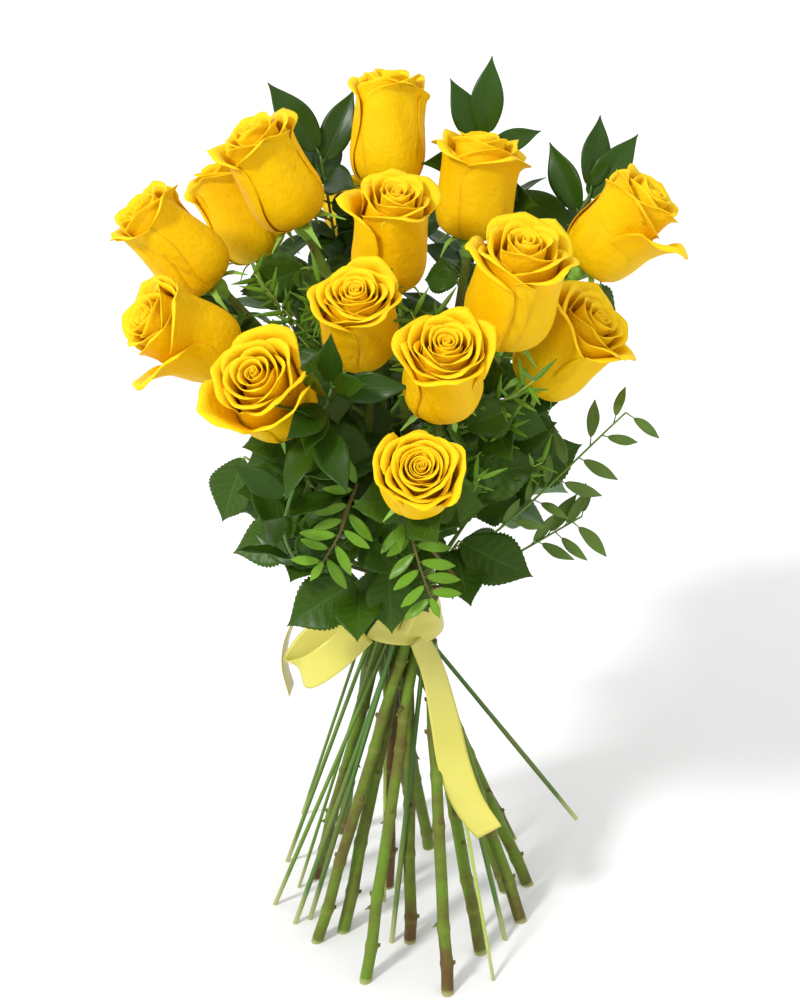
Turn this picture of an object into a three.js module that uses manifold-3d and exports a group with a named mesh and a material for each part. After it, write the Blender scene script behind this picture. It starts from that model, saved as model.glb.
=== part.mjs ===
// A hand-tied bouquet: fifteen yellow roses with ruscus, mastic sprigs, trailing sprigs, feathery
// sprigs and rose foliage, bound with twine under a satin ribbon. The stems cross at the tie as a
// spiral and splay below it, so the bouquet stands on their cut ends.
// Millimetres and degrees, +Z up. Azimuth runs from +X (0) through the back, +Y (90). The front is -Y.
import * as THREE from "three";
import { mergeVertices } from "three/addons/utils/BufferGeometryUtils.js";
import Module from "manifold-3d";

// ---- Driving dimensions ----
const TIE_HEIGHT = 215; // the tie above the surface that the stems stand on
const GAP = 0.35; // left between neighbours
const STEM = { footRadius: 4.0, tieRadius: 3.45, neckRadius: 2.7, hipRadius: 5.4, hipLength: 11, sides: 6 };
const THIN_SIDES = 5; // of thin stems and petioles
const FOOT_SPARE = 12; // stem below the surface, cut off flat
const TRIM_SIZE = 600;

// The stems spiral. Each has [radius, slot, splay]: it rises towards the azimuth of its slot and leans
// by splay, and it passes the tie a quarter turn before its slot, at this radius from the middle.

// Each rose: its stem, the middle of its bloom measured from the tie, the way the bloom faces
// [azimuth, tilt from the vertical], and its bloom [length, width, flare of the rim].
const ROSES = [
  { stem: [18, 152, 20], head: [-126, -15, 239], face: [185, 42], bloom: [60, 43, 0.12] },
  { stem: [10.7, 244, 17], head: [-117, -68, 205], face: [205, 58], bloom: [56, 45, 0.2] },
  { stem: [17, 97, 25], head: [-95, 55, 235], face: [165, 30], bloom: [58, 42, 0.1] },
  { stem: [12.2, 123, 19], head: [-70, 5, 273], face: [190, 26], bloom: [60, 44, 0.14] },
  { stem: [16.2, 216, 26], head: [-69, -120, 192], face: [245, 44], bloom: [52, 45, 0.26] },
  { stem: [7.6, 184, 18], head: [-22, -95, 223], face: [262, 30], bloom: [52, 42, 0.16] },
  { stem: [2.5, 287, 5], head: [-5, -45, 253], face: [290, 18], bloom: [60, 43, 0.14] },
  { stem: [9.9, 30, 12.5], head: [-7, 50, 286], face: [80, 12], bloom: [62, 45, 0.08] },
  { stem: [5.5, 91, 11.5], head: [44, 30, 258], face: [45, 10], bloom: [57, 45, 0.22] },
  { stem: [18, 24, 17], head: [61, -92, 240], face: [300, 20], bloom: [63, 50, 0.2] },
  { stem: [16, 183, 21.5], head: [92, -55, 192], face: [335, 42], bloom: [58, 46, 0.22] },
  { stem: [12, 322, 16], head: [125, 10, 240], face: [352, 40], bloom: [58, 46, 0.24] },
  { stem: [15.2, 286, 23], head: [23, -130, 208], face: [275, 32], bloom: [52, 44, 0.2] },
  { stem: [18, 257, 27.5], head: [10, -165, 164], face: [272, 52], bloom: [46, 41, 0.12] },
  { stem: [13.5, 67, 22], head: [-25, 112, 205], face: [102, 36], bloom: [58, 44, 0.16] },
];

// Sprays on thin stems of their own. via is a point the stem passes on its way from the tie to end.
// A leaf is [share of the stem, azimuth, lift from the level, length, the azimuth its upper side looks
// towards if it doesn't look up], with its base on the stem. lift is how far above the surface a stem ends.
const RUSCUS = { stemRadius: 1.4, leafShape: 0.42, belly: 0.42, droop: 0.08 };
const RUSCUS_SPRAYS = [
  {
    name: "ruscus_spray_right", stem: [20, 359, 15], via: [51, 39, 124], end: [112, 50, 250], lift: 0,
    leaves: [
      [1, 70, 68, 46, 280], [0.98, 20, 48, 50, 270], [0.95, 140, 62, 46, 250], [0.88, 60, 30, 44], [0.8, 10, 15, 42, 300],
    ],
  },
  {
    name: "ruscus_spray_top", stem: [14, 8, 18], via: [57, 53, 170], end: [50, 62, 279], lift: 0,
    leaves: [
      [1, 75, 84, 48, 270], [0.98, 165, 60, 46, 270], [0.98, 0, 20, 34, 300], [0.9, 100, 40, 44], [0.84, 150, 35, 42, 260],
    ],
  },
  {
    name: "ruscus_spray_left", stem: [20.5, 133, 19.5], via: [-24, 68, 126], end: [-47, 66, 268], lift: 0,
    leaves: [
      [1, 165, 55, 52, 270], [0.98, 30, 62, 48, 270], [0.93, 110, 40, 44], [0.9, 190, 20, 44, 250], [0.84, 30, 30, 42, 280],
    ],
  },
  {
    name: "ruscus_spray_front", stem: [20.5, 195, 34.5], via: [-62, -134, 112], end: [-36, -130, 200], lift: 30,
    leaves: [
      [1, 262, 68, 36, 250], [1, 345, 6, 42, 285], [0.98, 228, 40, 44, 240], [0.96, 255, -10, 36], [0.93, 205, -25, 42, 240],
    ],
  },
  {
    name: "ruscus_spray_back", stem: [20.5, 56, 10.5], via: [26, 72, 86], end: [42, 112, 214], lift: 0,
    leaves: [
      [1, 80, 60, 48, 40], [0.96, 20, 25, 46], [0.92, 140, 20, 46], [0.84, 60, 0, 44], [0.76, 110, -10, 42, 100],
    ],
  },
  {
    name: "ruscus_spray_back_left", stem: [18, 127, 15], via: [-46, 78, 81], end: [-88, 104, 200], lift: 0,
    leaves: [
      [1, 130, 60, 48, 160], [0.96, 190, 25, 46], [0.92, 90, 20, 46], [0.84, 150, 0, 44], [0.76, 110, -15, 42, 140],
    ],
  },
];

const MASTIC = { stemRadius: 1.8, leafShape: 0.38, belly: 0.5, droop: 0.05 };
const MASTIC_SPRAYS = [
  {
    name: "mastic_sprig_front", stem: [19.8, 315, 22], via: [32, -66, 53], end: [13, -122, 84], lift: 0,
    leaves: [
      [1, 280, -50, 16], [0.95, 350, 0, 20, 270], [0.95, 195, -25, 20, 270], [0.85, 355, 5, 20, 270], [0.85, 195, -15, 20, 270],
    ],
  },
  {
    name: "mastic_sprig_left", stem: [12.6, 353, 20.5], via: [-41, -72, 72], end: [-44, -126, 104], lift: 0,
    leaves: [
      [1, 240, -60, 19], [0.95, 190, 0, 21, 270], [0.88, 190, 10, 21, 270], [0.8, 200, 20, 20, 270], [0.88, 320, -30, 18, 270],
    ],
  },
  {
    name: "trailing_sprig_low", stem: [19.7, 329, 17], via: [62, -40, 54], end: [106, -40, 82], lift: 0,
    leaves: [
      [1, 310, -35, 22, 270], [0.97, 350, 15, 24, 270], [0.88, 350, 25, 24, 270], [0.9, 280, -55, 26, 300], [0.82, 240, -50, 20],
    ],
  },
  {
    name: "trailing_sprig_high", stem: [20.5, 293, 30], via: [57, -63, 85], end: [128, -50, 152], lift: 0,
    leaves: [
      [1, 350, 25, 26, 270], [0.96, 320, -40, 24, 290], [0.9, 20, 40, 24, 270], [0.9, 290, -30, 22], [0.82, 340, -30, 22, 270],
    ],
  },
];

const FEATHER = { stemRadius: 1.1, leafShape: 0.16, belly: 0.4, droop: 0.1 };
const FEATHER_SPRAYS = [
  {
    name: "feather_sprig_left", stem: [18.6, 114, 25], via: [-31, 22, 105], end: [-48, -46, 216], lift: 0,
    leaves: [[1, 300, 40, 32], [0.92, 340, 20, 32], [0.9, 220, 10, 28], [0.8, 280, 10, 30], [0.8, 0, 10, 28]],
  },
  {
    name: "feather_sprig_right", stem: [9.5, 290, 1], via: [31, -60, 114], end: [38, -98, 186], lift: 0,
    leaves: [[1, 20, 60, 28], [0.92, 340, 20, 30], [0.9, 200, 20, 26], [0.8, 290, -10, 28], [0.8, 20, -10, 28]],
  },
];

// Rose leaves: a petiole from the stems above the tie, with one leaflet at its end and pairs beside it.
// face is the leaflet at the end: [azimuth, lift from the level, length].
const ROSE_LEAF = { petioleRadius: 1.2, leafShape: 0.68, belly: 0.55, droop: 0.12, sideAngle: 64 };
const LEAFLET_PAIRS = [[0.86, 0.86], [0.6, 0.68]]; // [place along the petiole, length against the end leaflet's]
const ROSE_LEAVES = [
  { name: "rose_leaf_01", start: [-27, -8, 34], knee: [-54, -48, 76], face: [192, -8, 46, 262] },
  { name: "rose_leaf_02", start: [-30, 2, 48], knee: [-92, -8, 106], face: [190, -52, 46, 250] },
  { name: "rose_leaf_03", start: [-19, -21, 22], knee: [-24, -56, 48], face: [206, -24, 50, 262] },
  { name: "rose_leaf_04", start: [-2, -27, 26], knee: [-6, -60, 62], face: [272, -52, 42, 270] },
  { name: "rose_leaf_05", start: [20, -19, 24], knee: [34, -60, 76], face: [338, -18, 48, 276] },
  { name: "rose_leaf_06", start: [27, -10, 42], knee: [60, -36, 106], face: [8, 24, 50, 280] },
  { name: "rose_leaf_07", start: [-24, -16, 50], knee: [-52, -80, 124], face: [215, 8, 46, 258] },
  { name: "rose_leaf_08", start: [14, -24, 52], knee: [34, -76, 124], face: [335, 22, 48, 280] },
  { name: "rose_leaf_09", start: [26, 14, 30], knee: [62, 40, 66], face: [30, -5, 52, 60] },
  { name: "rose_leaf_10", start: [-4, 29, 30], knee: [-6, 74, 80], face: [95, -15, 54, 95] },
  { name: "rose_leaf_11", start: [-27, 14, 28], knee: [-66, 46, 66], face: [150, -5, 52, 120] },
  { name: "rose_leaf_12", start: [-10, -26, 46], knee: [-24, -70, 92], face: [232, -10, 46, 262] },
];

const TWINE = { coilRadius: 22.4, cordRadius: 0.8, turns: 3 };
const RIBBON = { width: 20, thickness: 0.8, wrapRadius: 24, wrapFlare: 1.2 };
// Each ribbon length: the points its middle line passes and the way its width runs at both ends.
const RIBBON_LENGTHS = [
  {
    name: "ribbon_bow_loop",
    points: [
      [-22, -14, 5], [-38, -14, -3], [-54, -18, -15], [-62, -25, -26],
      [-56, -33, -26], [-40, -34, -14], [-23, -23, -2],
    ],
    widthStart: [0.45, -0.35, -0.82], widthEnd: [0.45, -0.35, -0.82],
  },
  {
    name: "ribbon_tail_right",
    points: [[12, -26, -11], [21, -31, -28], [27, -35, -56], [33, -40, -86], [42, -46, -110], [55, -52, -128]],
    widthStart: [0.86, 0.4, 0.25], widthEnd: [0.62, -0.3, 0.72],
  },
  {
    name: "ribbon_tail_left",
    points: [[-26, -3, 9], [-42, -4, 12], [-58, -6, 5], [-68, -8, -12], [-71, -10, -31], [-67, -12, -50]],
    widthStart: [0.05, 0.9, -0.4], widthEnd: [0.15, 0.9, -0.3],
  },
];
const RIBBON_KNOT = { centre: [5, -27, 7], radius: 4.2, length: 16 };

// ---- Materials ----
const paint = (color, roughness) => new THREE.MeshStandardMaterial({ color, roughness, metalness: 0 });
const PETAL = paint("#fdc70c", 0.55);
const GREEN_STEM = paint("#6f8a36", 0.5);
const RUSCUS_GREEN = paint("#1f4a1c", 0.3);
const MASTIC_GREEN = paint("#4f7f1e", 0.45);
const ROSE_GREEN = paint("#234d22", 0.45);
const TWINE_BROWN = paint("#a98a52", 0.8);
const SATIN = paint("#efe066", 0.3);

// ---- Solids ----
const wasm = await Module();
wasm.setup();

// A closed geometry as a solid for joining and cutting.
function solidOf(geometry) {
  const bare = new THREE.BufferGeometry().setAttribute("position", geometry.getAttribute("position"));
  bare.setIndex(geometry.getIndex());
  const merged = mergeVertices(bare, 1e-3);
  return new wasm.Manifold(
    new wasm.Mesh({
      numProp: 3,
      vertProperties: new Float32Array(merged.attributes.position.array),
      triVerts: new Uint32Array(merged.index.array),
    }),
  );
}

function geometryOf(solid) {
  const mesh = solid.getMesh();
  const geometry = new THREE.BufferGeometry();
  geometry.setAttribute("position", new THREE.BufferAttribute(mesh.vertProperties, 3));
  geometry.setIndex(new THREE.BufferAttribute(mesh.triVerts, 1));
  geometry.computeVertexNormals();
  return geometry;
}

const vector = (xyz) => new THREE.Vector3(...xyz);

// The unit vector towards an azimuth, raised from the level by lift degrees.
function towards(azimuth, lift) {
  const a = THREE.MathUtils.degToRad(azimuth);
  const e = THREE.MathUtils.degToRad(lift);
  return new THREE.Vector3(Math.cos(a) * Math.cos(e), Math.sin(a) * Math.cos(e), Math.sin(e));
}

// Moves every vertex of a geometry to where place(x, y, z) puts it.
function reshape(geometry, place) {
  const at = geometry.getAttribute("position");
  for (let i = 0; i < at.count; i++) {
    const moved = place(at.getX(i), at.getY(i), at.getZ(i));
    at.setXYZ(i, moved.x, moved.y, moved.z);
  }
  return geometry;
}

// A round bar along a list of points, with a radius at each; its section doesn't twist.
function bar(points, radii, sides) {
  const steps = points.length - 1;
  const frames = [];
  let across = new THREE.Vector3(1, 0, 0);
  points.forEach((point, i) => {
    const along = points[Math.min(i + 1, steps)].clone().sub(points[Math.max(i - 1, 0)]).normalize();
    across = across.clone().addScaledVector(along, -across.dot(along)).normalize();
    frames.push([point, across, across.clone().cross(along)]);
  });
  return reshape(new THREE.CylinderGeometry(1, 1, 1, sides, steps), (x, y, z) => {
    const i = Math.round((y + 0.5) * steps);
    const [point, u, v] = frames[i];
    return point.clone().addScaledVector(u, x * radii[i]).addScaledVector(v, z * radii[i]);
  });
}

// A leaf blade from base along a direction: pointed at both ends, widest at belly, and drooping. Its
// upper side looks up, or towards the azimuth facing where that is given.
function blade(base, direction, length, kind, margin = 0, facing = undefined) {
  const look = facing === undefined ? new THREE.Vector3(0, 0, 1) : towards(facing, 20);
  const normal = look.addScaledVector(direction, -look.dot(direction)).normalize();
  const across = direction.clone().cross(normal);
  const halfWidth = (length * kind.leafShape) / 2;
  const halfThickness = 0.5;
  return reshape(new THREE.SphereGeometry(1, 4, 5), (x, y, z) => {
    const share = (y + 1) / 2;
    const round = Math.max(Math.sqrt(x * x + z * z), 1e-9);
    const shape = Math.sin(Math.PI * share ** (Math.log(0.5) / Math.log(kind.belly)));
    const wide = share === 0 || share === 1 ? 0 : shape * halfWidth + margin;
    const thick = share === 0 || share === 1 ? 0 : halfThickness + margin;
    return base
      .clone()
      .addScaledVector(direction, share * length)
      .addScaledVector(across, (x / round) * wide)
      .addScaledVector(normal, (z / round) * thick - kind.droop * length * share * share);
  });
}

// A ribbon: a flat strip along a smooth line, whose width turns from one direction to the other.
function strip(length, margin = 0) {
  const line = new THREE.CatmullRomCurve3(length.points.map(vector));
  const steps = 2 * length.points.length;
  const box = new THREE.BoxGeometry(RIBBON.width + margin, 1, RIBBON.thickness + 2 * margin, 2, steps, 1);
  return reshape(box, (x, y, z) => {
    const share = y + 0.5;
    const along = line.getTangent(share);
    const across = vector(length.widthStart).lerp(vector(length.widthEnd), share);
    across.addScaledVector(along, -across.dot(along)).normalize();
    const normal = across.clone().cross(along);
    return line.getPoint(share).addScaledVector(across, x).addScaledVector(normal, z);
  });
}

// The line a stem takes: straight from its cut end through the tie, then bending to its end.
function stemPoints([radius, slot, splay], lift, end, endDirection, via) {
  const through = towards(slot - 90, 0).multiplyScalar(radius);
  const rise = towards(slot, 90 - splay);
  const below = lift ? TIE_HEIGHT - lift : TIE_HEIGHT + FOOT_SPARE;
  const foot = through.clone().addScaledVector(rise, -below / rise.z);
  const bends = [];
  if (via) {
    const passing = end.clone().sub(through).normalize();
    bends.push([through, rise, via, passing], [via, passing, end, endDirection]);
  } else {
    bends.push([through, rise, end, endDirection]);
  }
  const points = [foot, foot.clone().lerp(through, 0.5), through];
  for (const [from, leaving, to, arriving] of bends) {
    const span = from.distanceTo(to);
    const curve = new THREE.CubicBezierCurve3(
      from,
      from.clone().addScaledVector(leaving, span * 0.36),
      to.clone().addScaledVector(arriving, -span * 0.36),
      to,
    );
    points.push(...curve.getPoints(Math.max(2, Math.round(span / 40))).slice(1));
  }
  return points;
}

// ---- The pieces ----
const below = solidOf(new THREE.BoxGeometry(TRIM_SIZE, TRIM_SIZE, TRIM_SIZE)).translate(
  0,
  0,
  -TIE_HEIGHT - TRIM_SIZE / 2,
);
const placed = []; // the meshes so far, and the slightly larger room that each one keeps to itself

function keep(name, material, solid, room, position, quaternion) {
  const mesh = new THREE.Mesh(geometryOf(solid), material);
  mesh.name = name;
  if (position) mesh.position.copy(position);
  if (quaternion) mesh.quaternion.copy(quaternion);
  mesh.updateMatrix();
  placed.push({ mesh, room: room.transform(mesh.matrix.toArray()) });
}

// A rose's bloom in its own frame, +Y from its base to its rim: an urn, softly five-lobed, with a dished top.
function bloom(rose, margin) {
  const [length, width, flare] = rose.bloom;
  const profile = [
    [0, 0],
    [0.45, 0.01],
    [0.84, 0.1],
    [1, 0.3],
    [0.96, 0.55],
    [0.92 + flare * 0.5, 0.8],
    [0.94 + flare, 0.95],
    [0.76 + flare * 0.7, 1],
    [0, 0.95],
  ].map(
    ([r, h]) => new THREE.Vector2((r * width) / 2 + (r ? margin : 0), h * length + (h > 0.5 ? margin : -margin)),
  );
  return reshape(new THREE.LatheGeometry(profile, 15), (x, y, z) => {
    const lobe = 1 + 0.06 * (y / length) ** 2 * Math.cos(5 * Math.atan2(z, x));
    return new THREE.Vector3(x * lobe, y, z * lobe);
  });
}

const bloomAxis = (rose) => towards(rose.face[0], 90 - rose.face[1]);
const bloomBase = (rose) => vector(rose.head).addScaledVector(bloomAxis(rose), -rose.bloom[0] / 2);

// A rose's stem with the hip that carries the bloom.
function roseStem(rose, margin) {
  const axis = bloomAxis(rose);
  const top = bloomBase(rose).addScaledVector(axis, -GAP);
  const neck = top.clone().addScaledVector(axis, -STEM.hipLength);
  const line = stemPoints(rose.stem, 0, neck, axis);
  const tie = 2;
  const radii = line.map((_, i) =>
    i <= tie
      ? THREE.MathUtils.lerp(STEM.footRadius, STEM.tieRadius, i / tie)
      : THREE.MathUtils.lerp(STEM.tieRadius, STEM.neckRadius, (i - tie) / (line.length - 1 - tie)),
  );
  const hip = [0.4, 0.75, 1].map((share) => neck.clone().lerp(top, share));
  const hipRadii = [STEM.hipRadius * 0.8, STEM.hipRadius, STEM.hipRadius * 0.85];
  return bar([...line, ...hip], [...radii, ...hipRadii].map((r) => r + margin), STEM.sides);
}

// A spray: its stem from the cut end to the tip, and its leaves joined on.
function spray(plan, kind, margin) {
  const end = vector(plan.end);
  const via = vector(plan.via);
  const line = stemPoints(plan.stem, plan.lift, end, end.clone().sub(via).normalize(), via);
  const radii = line.map((_, i) => kind.stemRadius * (1 - (0.45 * i) / line.length) + margin);
  let solid = solidOf(bar(line, radii, THIN_SIDES));
  for (const [share, azimuth, lift, length, facing] of plan.leaves) {
    const upper = line.slice(2);
    const spot = share * (upper.length - 1);
    const i = Math.min(Math.floor(spot), upper.length - 2);
    const base = upper[i].clone().lerp(upper[i + 1], spot - i);
    const direction = towards(azimuth, lift);
    base.addScaledVector(direction, -0.8);
    solid = solid.add(solidOf(blade(base, direction, length, kind, margin, facing)));
  }
  return solid;
}

// A rose leaf: the petiole, one leaflet at its end and a pair beside it.
function roseLeaf(plan, margin) {
  const start = vector(plan.start);
  const knee = vector(plan.knee);
  const [azimuth, lift, length, facing] = plan.face;
  const middle = start.clone().lerp(knee, 0.5).add(new THREE.Vector3(0, 0, 6));
  const line = new THREE.QuadraticBezierCurve3(start, middle, knee).getPoints(4);
  let solid = solidOf(bar(line, line.map(() => ROSE_LEAF.petioleRadius + margin), THIN_SIDES));
  const leaflets = [[knee, azimuth, length]];
  for (const [place, share] of LEAFLET_PAIRS) {
    const from = start.clone().lerp(knee, place).lerp(middle, 2 * place * (1 - place));
    leaflets.push([from, azimuth + ROSE_LEAF.sideAngle, length * share]);
    leaflets.push([from, azimuth - ROSE_LEAF.sideAngle, length * share]);
  }
  for (const [from, way, long] of leaflets) {
    const direction = towards(way, lift);
    const base = from.clone().addScaledVector(direction, -0.8);
    solid = solid.add(solidOf(blade(base, direction, long, ROSE_LEAF, margin, facing)));
  }
  return solid;
}

const number = (i) => String(i + 1).padStart(2, "0");

ROSES.forEach((rose, i) => {
  const rise = new THREE.Quaternion().setFromUnitVectors(new THREE.Vector3(0, 1, 0), bloomAxis(rose));
  const stem = solidOf(roseStem(rose, 0)).subtract(below);
  keep(`rose_${number(i)}_stem`, GREEN_STEM, stem, solidOf(roseStem(rose, GAP)));
  const head = solidOf(bloom(rose, 0));
  keep(`rose_${number(i)}_bloom`, PETAL, head, solidOf(bloom(rose, GAP)), bloomBase(rose), rise);
});

// The twine that binds the stems: turns wound side by side, fused in one band of round cords.
const twineProfile = [];
const twineHeight = TWINE.turns * 2 * TWINE.cordRadius;
for (let turn = 0; turn < TWINE.turns; turn++) {
  const middle = -twineHeight / 2 + (2 * turn + 1) * TWINE.cordRadius;
  twineProfile.push(new THREE.Vector2(TWINE.coilRadius, middle - TWINE.cordRadius));
  twineProfile.push(new THREE.Vector2(TWINE.coilRadius + TWINE.cordRadius, middle));
}
twineProfile.push(new THREE.Vector2(TWINE.coilRadius - 0.5, twineHeight / 2));
twineProfile.push(new THREE.Vector2(TWINE.coilRadius - 0.5, -twineHeight / 2));
twineProfile.push(twineProfile[0].clone());
const upright = (x, y, z) => new THREE.Vector3(x, -z, y);
const twine = solidOf(reshape(new THREE.LatheGeometry(twineProfile, 20), upright));
keep("binding_twine", TWINE_BROWN, twine, twine);

// The ribbon: the turn round the stems, its rolled knot, the bow's loop and the two tails.
const wrapProfile = [
  [RIBBON.wrapRadius + RIBBON.wrapFlare, -RIBBON.width / 2],
  [RIBBON.wrapRadius + RIBBON.wrapFlare + RIBBON.thickness, -RIBBON.width / 2],
  [RIBBON.wrapRadius + RIBBON.thickness, RIBBON.width / 2],
  [RIBBON.wrapRadius, RIBBON.width / 2],
  [RIBBON.wrapRadius + RIBBON.wrapFlare, -RIBBON.width / 2],
].map(([r, h]) => new THREE.Vector2(r, h));
const wrap = solidOf(reshape(new THREE.LatheGeometry(wrapProfile, 24), upright));
keep("ribbon_wrap", SATIN, wrap, wrap);

const placedRoom = () => placed.map(({ room }) => room);

// Cuts a piece back from what is already in place and keeps its largest part.
function clearOf(solid, rooms) {
  let left = solid;
  for (const room of rooms) {
    if (left.intersect(room).volume() > 0) left = left.subtract(room);
  }
  return left.decompose().sort((a, b) => b.volume() - a.volume())[0];
}

function tuck(name, material, make) {
  keep(name, material, clearOf(make(0).subtract(below), placedRoom()), make(GAP));
}

const knotEnds = [-0.5, 0.5].map((side) =>
  vector(RIBBON_KNOT.centre).addScaledVector(towards(40, 60), side * RIBBON_KNOT.length),
);
tuck("ribbon_knot", SATIN, (margin) =>
  solidOf(bar(knotEnds, [RIBBON_KNOT.radius * 0.7 + margin, RIBBON_KNOT.radius + margin], 12)),
);
for (const length of RIBBON_LENGTHS) tuck(length.name, SATIN, (margin) => solidOf(strip(length, margin)));
for (const plan of RUSCUS_SPRAYS) tuck(plan.name, RUSCUS_GREEN, (margin) => spray(plan, RUSCUS, margin));
for (const plan of MASTIC_SPRAYS) tuck(plan.name, MASTIC_GREEN, (margin) => spray(plan, MASTIC, margin));
for (const plan of FEATHER_SPRAYS) tuck(plan.name, MASTIC_GREEN, (margin) => spray(plan, FEATHER, margin));
for (const plan of ROSE_LEAVES) tuck(plan.name, ROSE_GREEN, (margin) => roseLeaf(plan, margin));

// ---- The bouquet: its origin is on the surface, under the middle of its outer box ----
const bouquet = new THREE.Group();
bouquet.add(...placed.map(({ mesh }) => mesh));
const extent = new THREE.Box3().setFromObject(bouquet);
const middle = extent.getCenter(new THREE.Vector3());
bouquet.position.set(-middle.x, -middle.y, -extent.min.z);

export default bouquet;
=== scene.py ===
"""The finished looks of a hand-tied bouquet of fifteen yellow roses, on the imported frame."""

import math

import bpy
import numpy as np
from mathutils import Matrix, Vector


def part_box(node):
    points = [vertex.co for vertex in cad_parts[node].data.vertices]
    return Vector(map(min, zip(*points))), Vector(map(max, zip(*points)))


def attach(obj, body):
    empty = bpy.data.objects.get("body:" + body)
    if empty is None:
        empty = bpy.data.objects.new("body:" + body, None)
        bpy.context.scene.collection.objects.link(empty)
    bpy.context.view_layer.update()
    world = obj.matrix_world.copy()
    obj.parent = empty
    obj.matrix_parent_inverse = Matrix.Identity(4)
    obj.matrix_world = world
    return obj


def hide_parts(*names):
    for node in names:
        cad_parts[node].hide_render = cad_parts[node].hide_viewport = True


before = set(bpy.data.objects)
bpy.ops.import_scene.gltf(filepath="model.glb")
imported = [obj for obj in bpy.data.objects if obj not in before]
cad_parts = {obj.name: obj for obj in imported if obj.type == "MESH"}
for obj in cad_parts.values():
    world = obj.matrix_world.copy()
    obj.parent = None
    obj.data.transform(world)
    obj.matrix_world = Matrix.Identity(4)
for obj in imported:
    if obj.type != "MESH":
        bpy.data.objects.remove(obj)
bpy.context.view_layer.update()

bl_info = {
    "name": "Bouquet of yellow roses",
    "version": (1, 0, 0),
    "blender": (4, 5, 0),
    "location": "3D View > Sidebar > Bouquet",
    "description": "Builds the blooms, stems, foliage and satin ribbon of a hand-tied bouquet",
    "category": "Object",
}

MM = 0.001
BODY = "root"
UP = np.array([0.0, 0.0, 1.0])
GOLDEN_TURN = math.radians(137.508)  # each petal or leaf grows this far round from the one before it

# All places below are in millimetres from the middle of the twine, as in the part's source.
TWINE_LOW, TWINE_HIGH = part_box("binding_twine")
TIE = np.array((TWINE_LOW + TWINE_HIGH) / 2)
TIE_HEIGHT = TIE[2] / MM

# ---- The plan of the bouquet ----
# The lines of the stems are the frame's own. A stem is (distance from the middle of the tie, azimuth that it
# rises towards, splay from upright in degrees), and a bloom is (length, width, flare of its rim). A leaf of
# a spray is (share of the spray, azimuth, lift, length, and the azimuth that its upper side faces, if any).
STEM = {"foot": 4.0, "tie": 3.45, "neck": 2.7, "hip": 5.4, "hip_length": 11}
ROSES = [
    {"stem": (18, 152, 20), "head": (-126, -15, 239), "face": (185, 42), "bloom": (60, 43, 0.12)},
    {"stem": (10.7, 244, 17), "head": (-117, -68, 205), "face": (205, 58), "bloom": (56, 45, 0.2)},
    {"stem": (17, 97, 25), "head": (-95, 55, 235), "face": (165, 30), "bloom": (58, 42, 0.1)},
    {"stem": (12.2, 123, 19), "head": (-70, 5, 273), "face": (190, 26), "bloom": (60, 44, 0.14)},
    {"stem": (16.2, 216, 26), "head": (-69, -120, 192), "face": (245, 44), "bloom": (52, 45, 0.26)},
    {"stem": (7.6, 184, 18), "head": (-22, -95, 223), "face": (262, 30), "bloom": (52, 42, 0.16)},
    {"stem": (2.5, 287, 5), "head": (-5, -45, 253), "face": (290, 18), "bloom": (60, 43, 0.14)},
    {"stem": (9.9, 30, 12.5), "head": (-7, 50, 286), "face": (80, 12), "bloom": (62, 45, 0.08)},
    {"stem": (5.5, 91, 11.5), "head": (44, 30, 258), "face": (45, 10), "bloom": (57, 45, 0.22)},
    {"stem": (18, 24, 17), "head": (61, -92, 240), "face": (300, 20), "bloom": (63, 50, 0.2)},
    {"stem": (16, 183, 21.5), "head": (92, -55, 192), "face": (335, 42), "bloom": (58, 46, 0.22)},
    {"stem": (12, 322, 16), "head": (125, 10, 240), "face": (352, 40), "bloom": (58, 46, 0.24)},
    {"stem": (15.2, 286, 23), "head": (23, -130, 208), "face": (275, 32), "bloom": (52, 44, 0.2)},
    {"stem": (18, 257, 27.5), "head": (10, -165, 164), "face": (272, 52), "bloom": (46, 41, 0.12)},
    {"stem": (13.5, 67, 22), "head": (-25, 112, 205), "face": (102, 36), "bloom": (58, 44, 0.16)},
]
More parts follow.
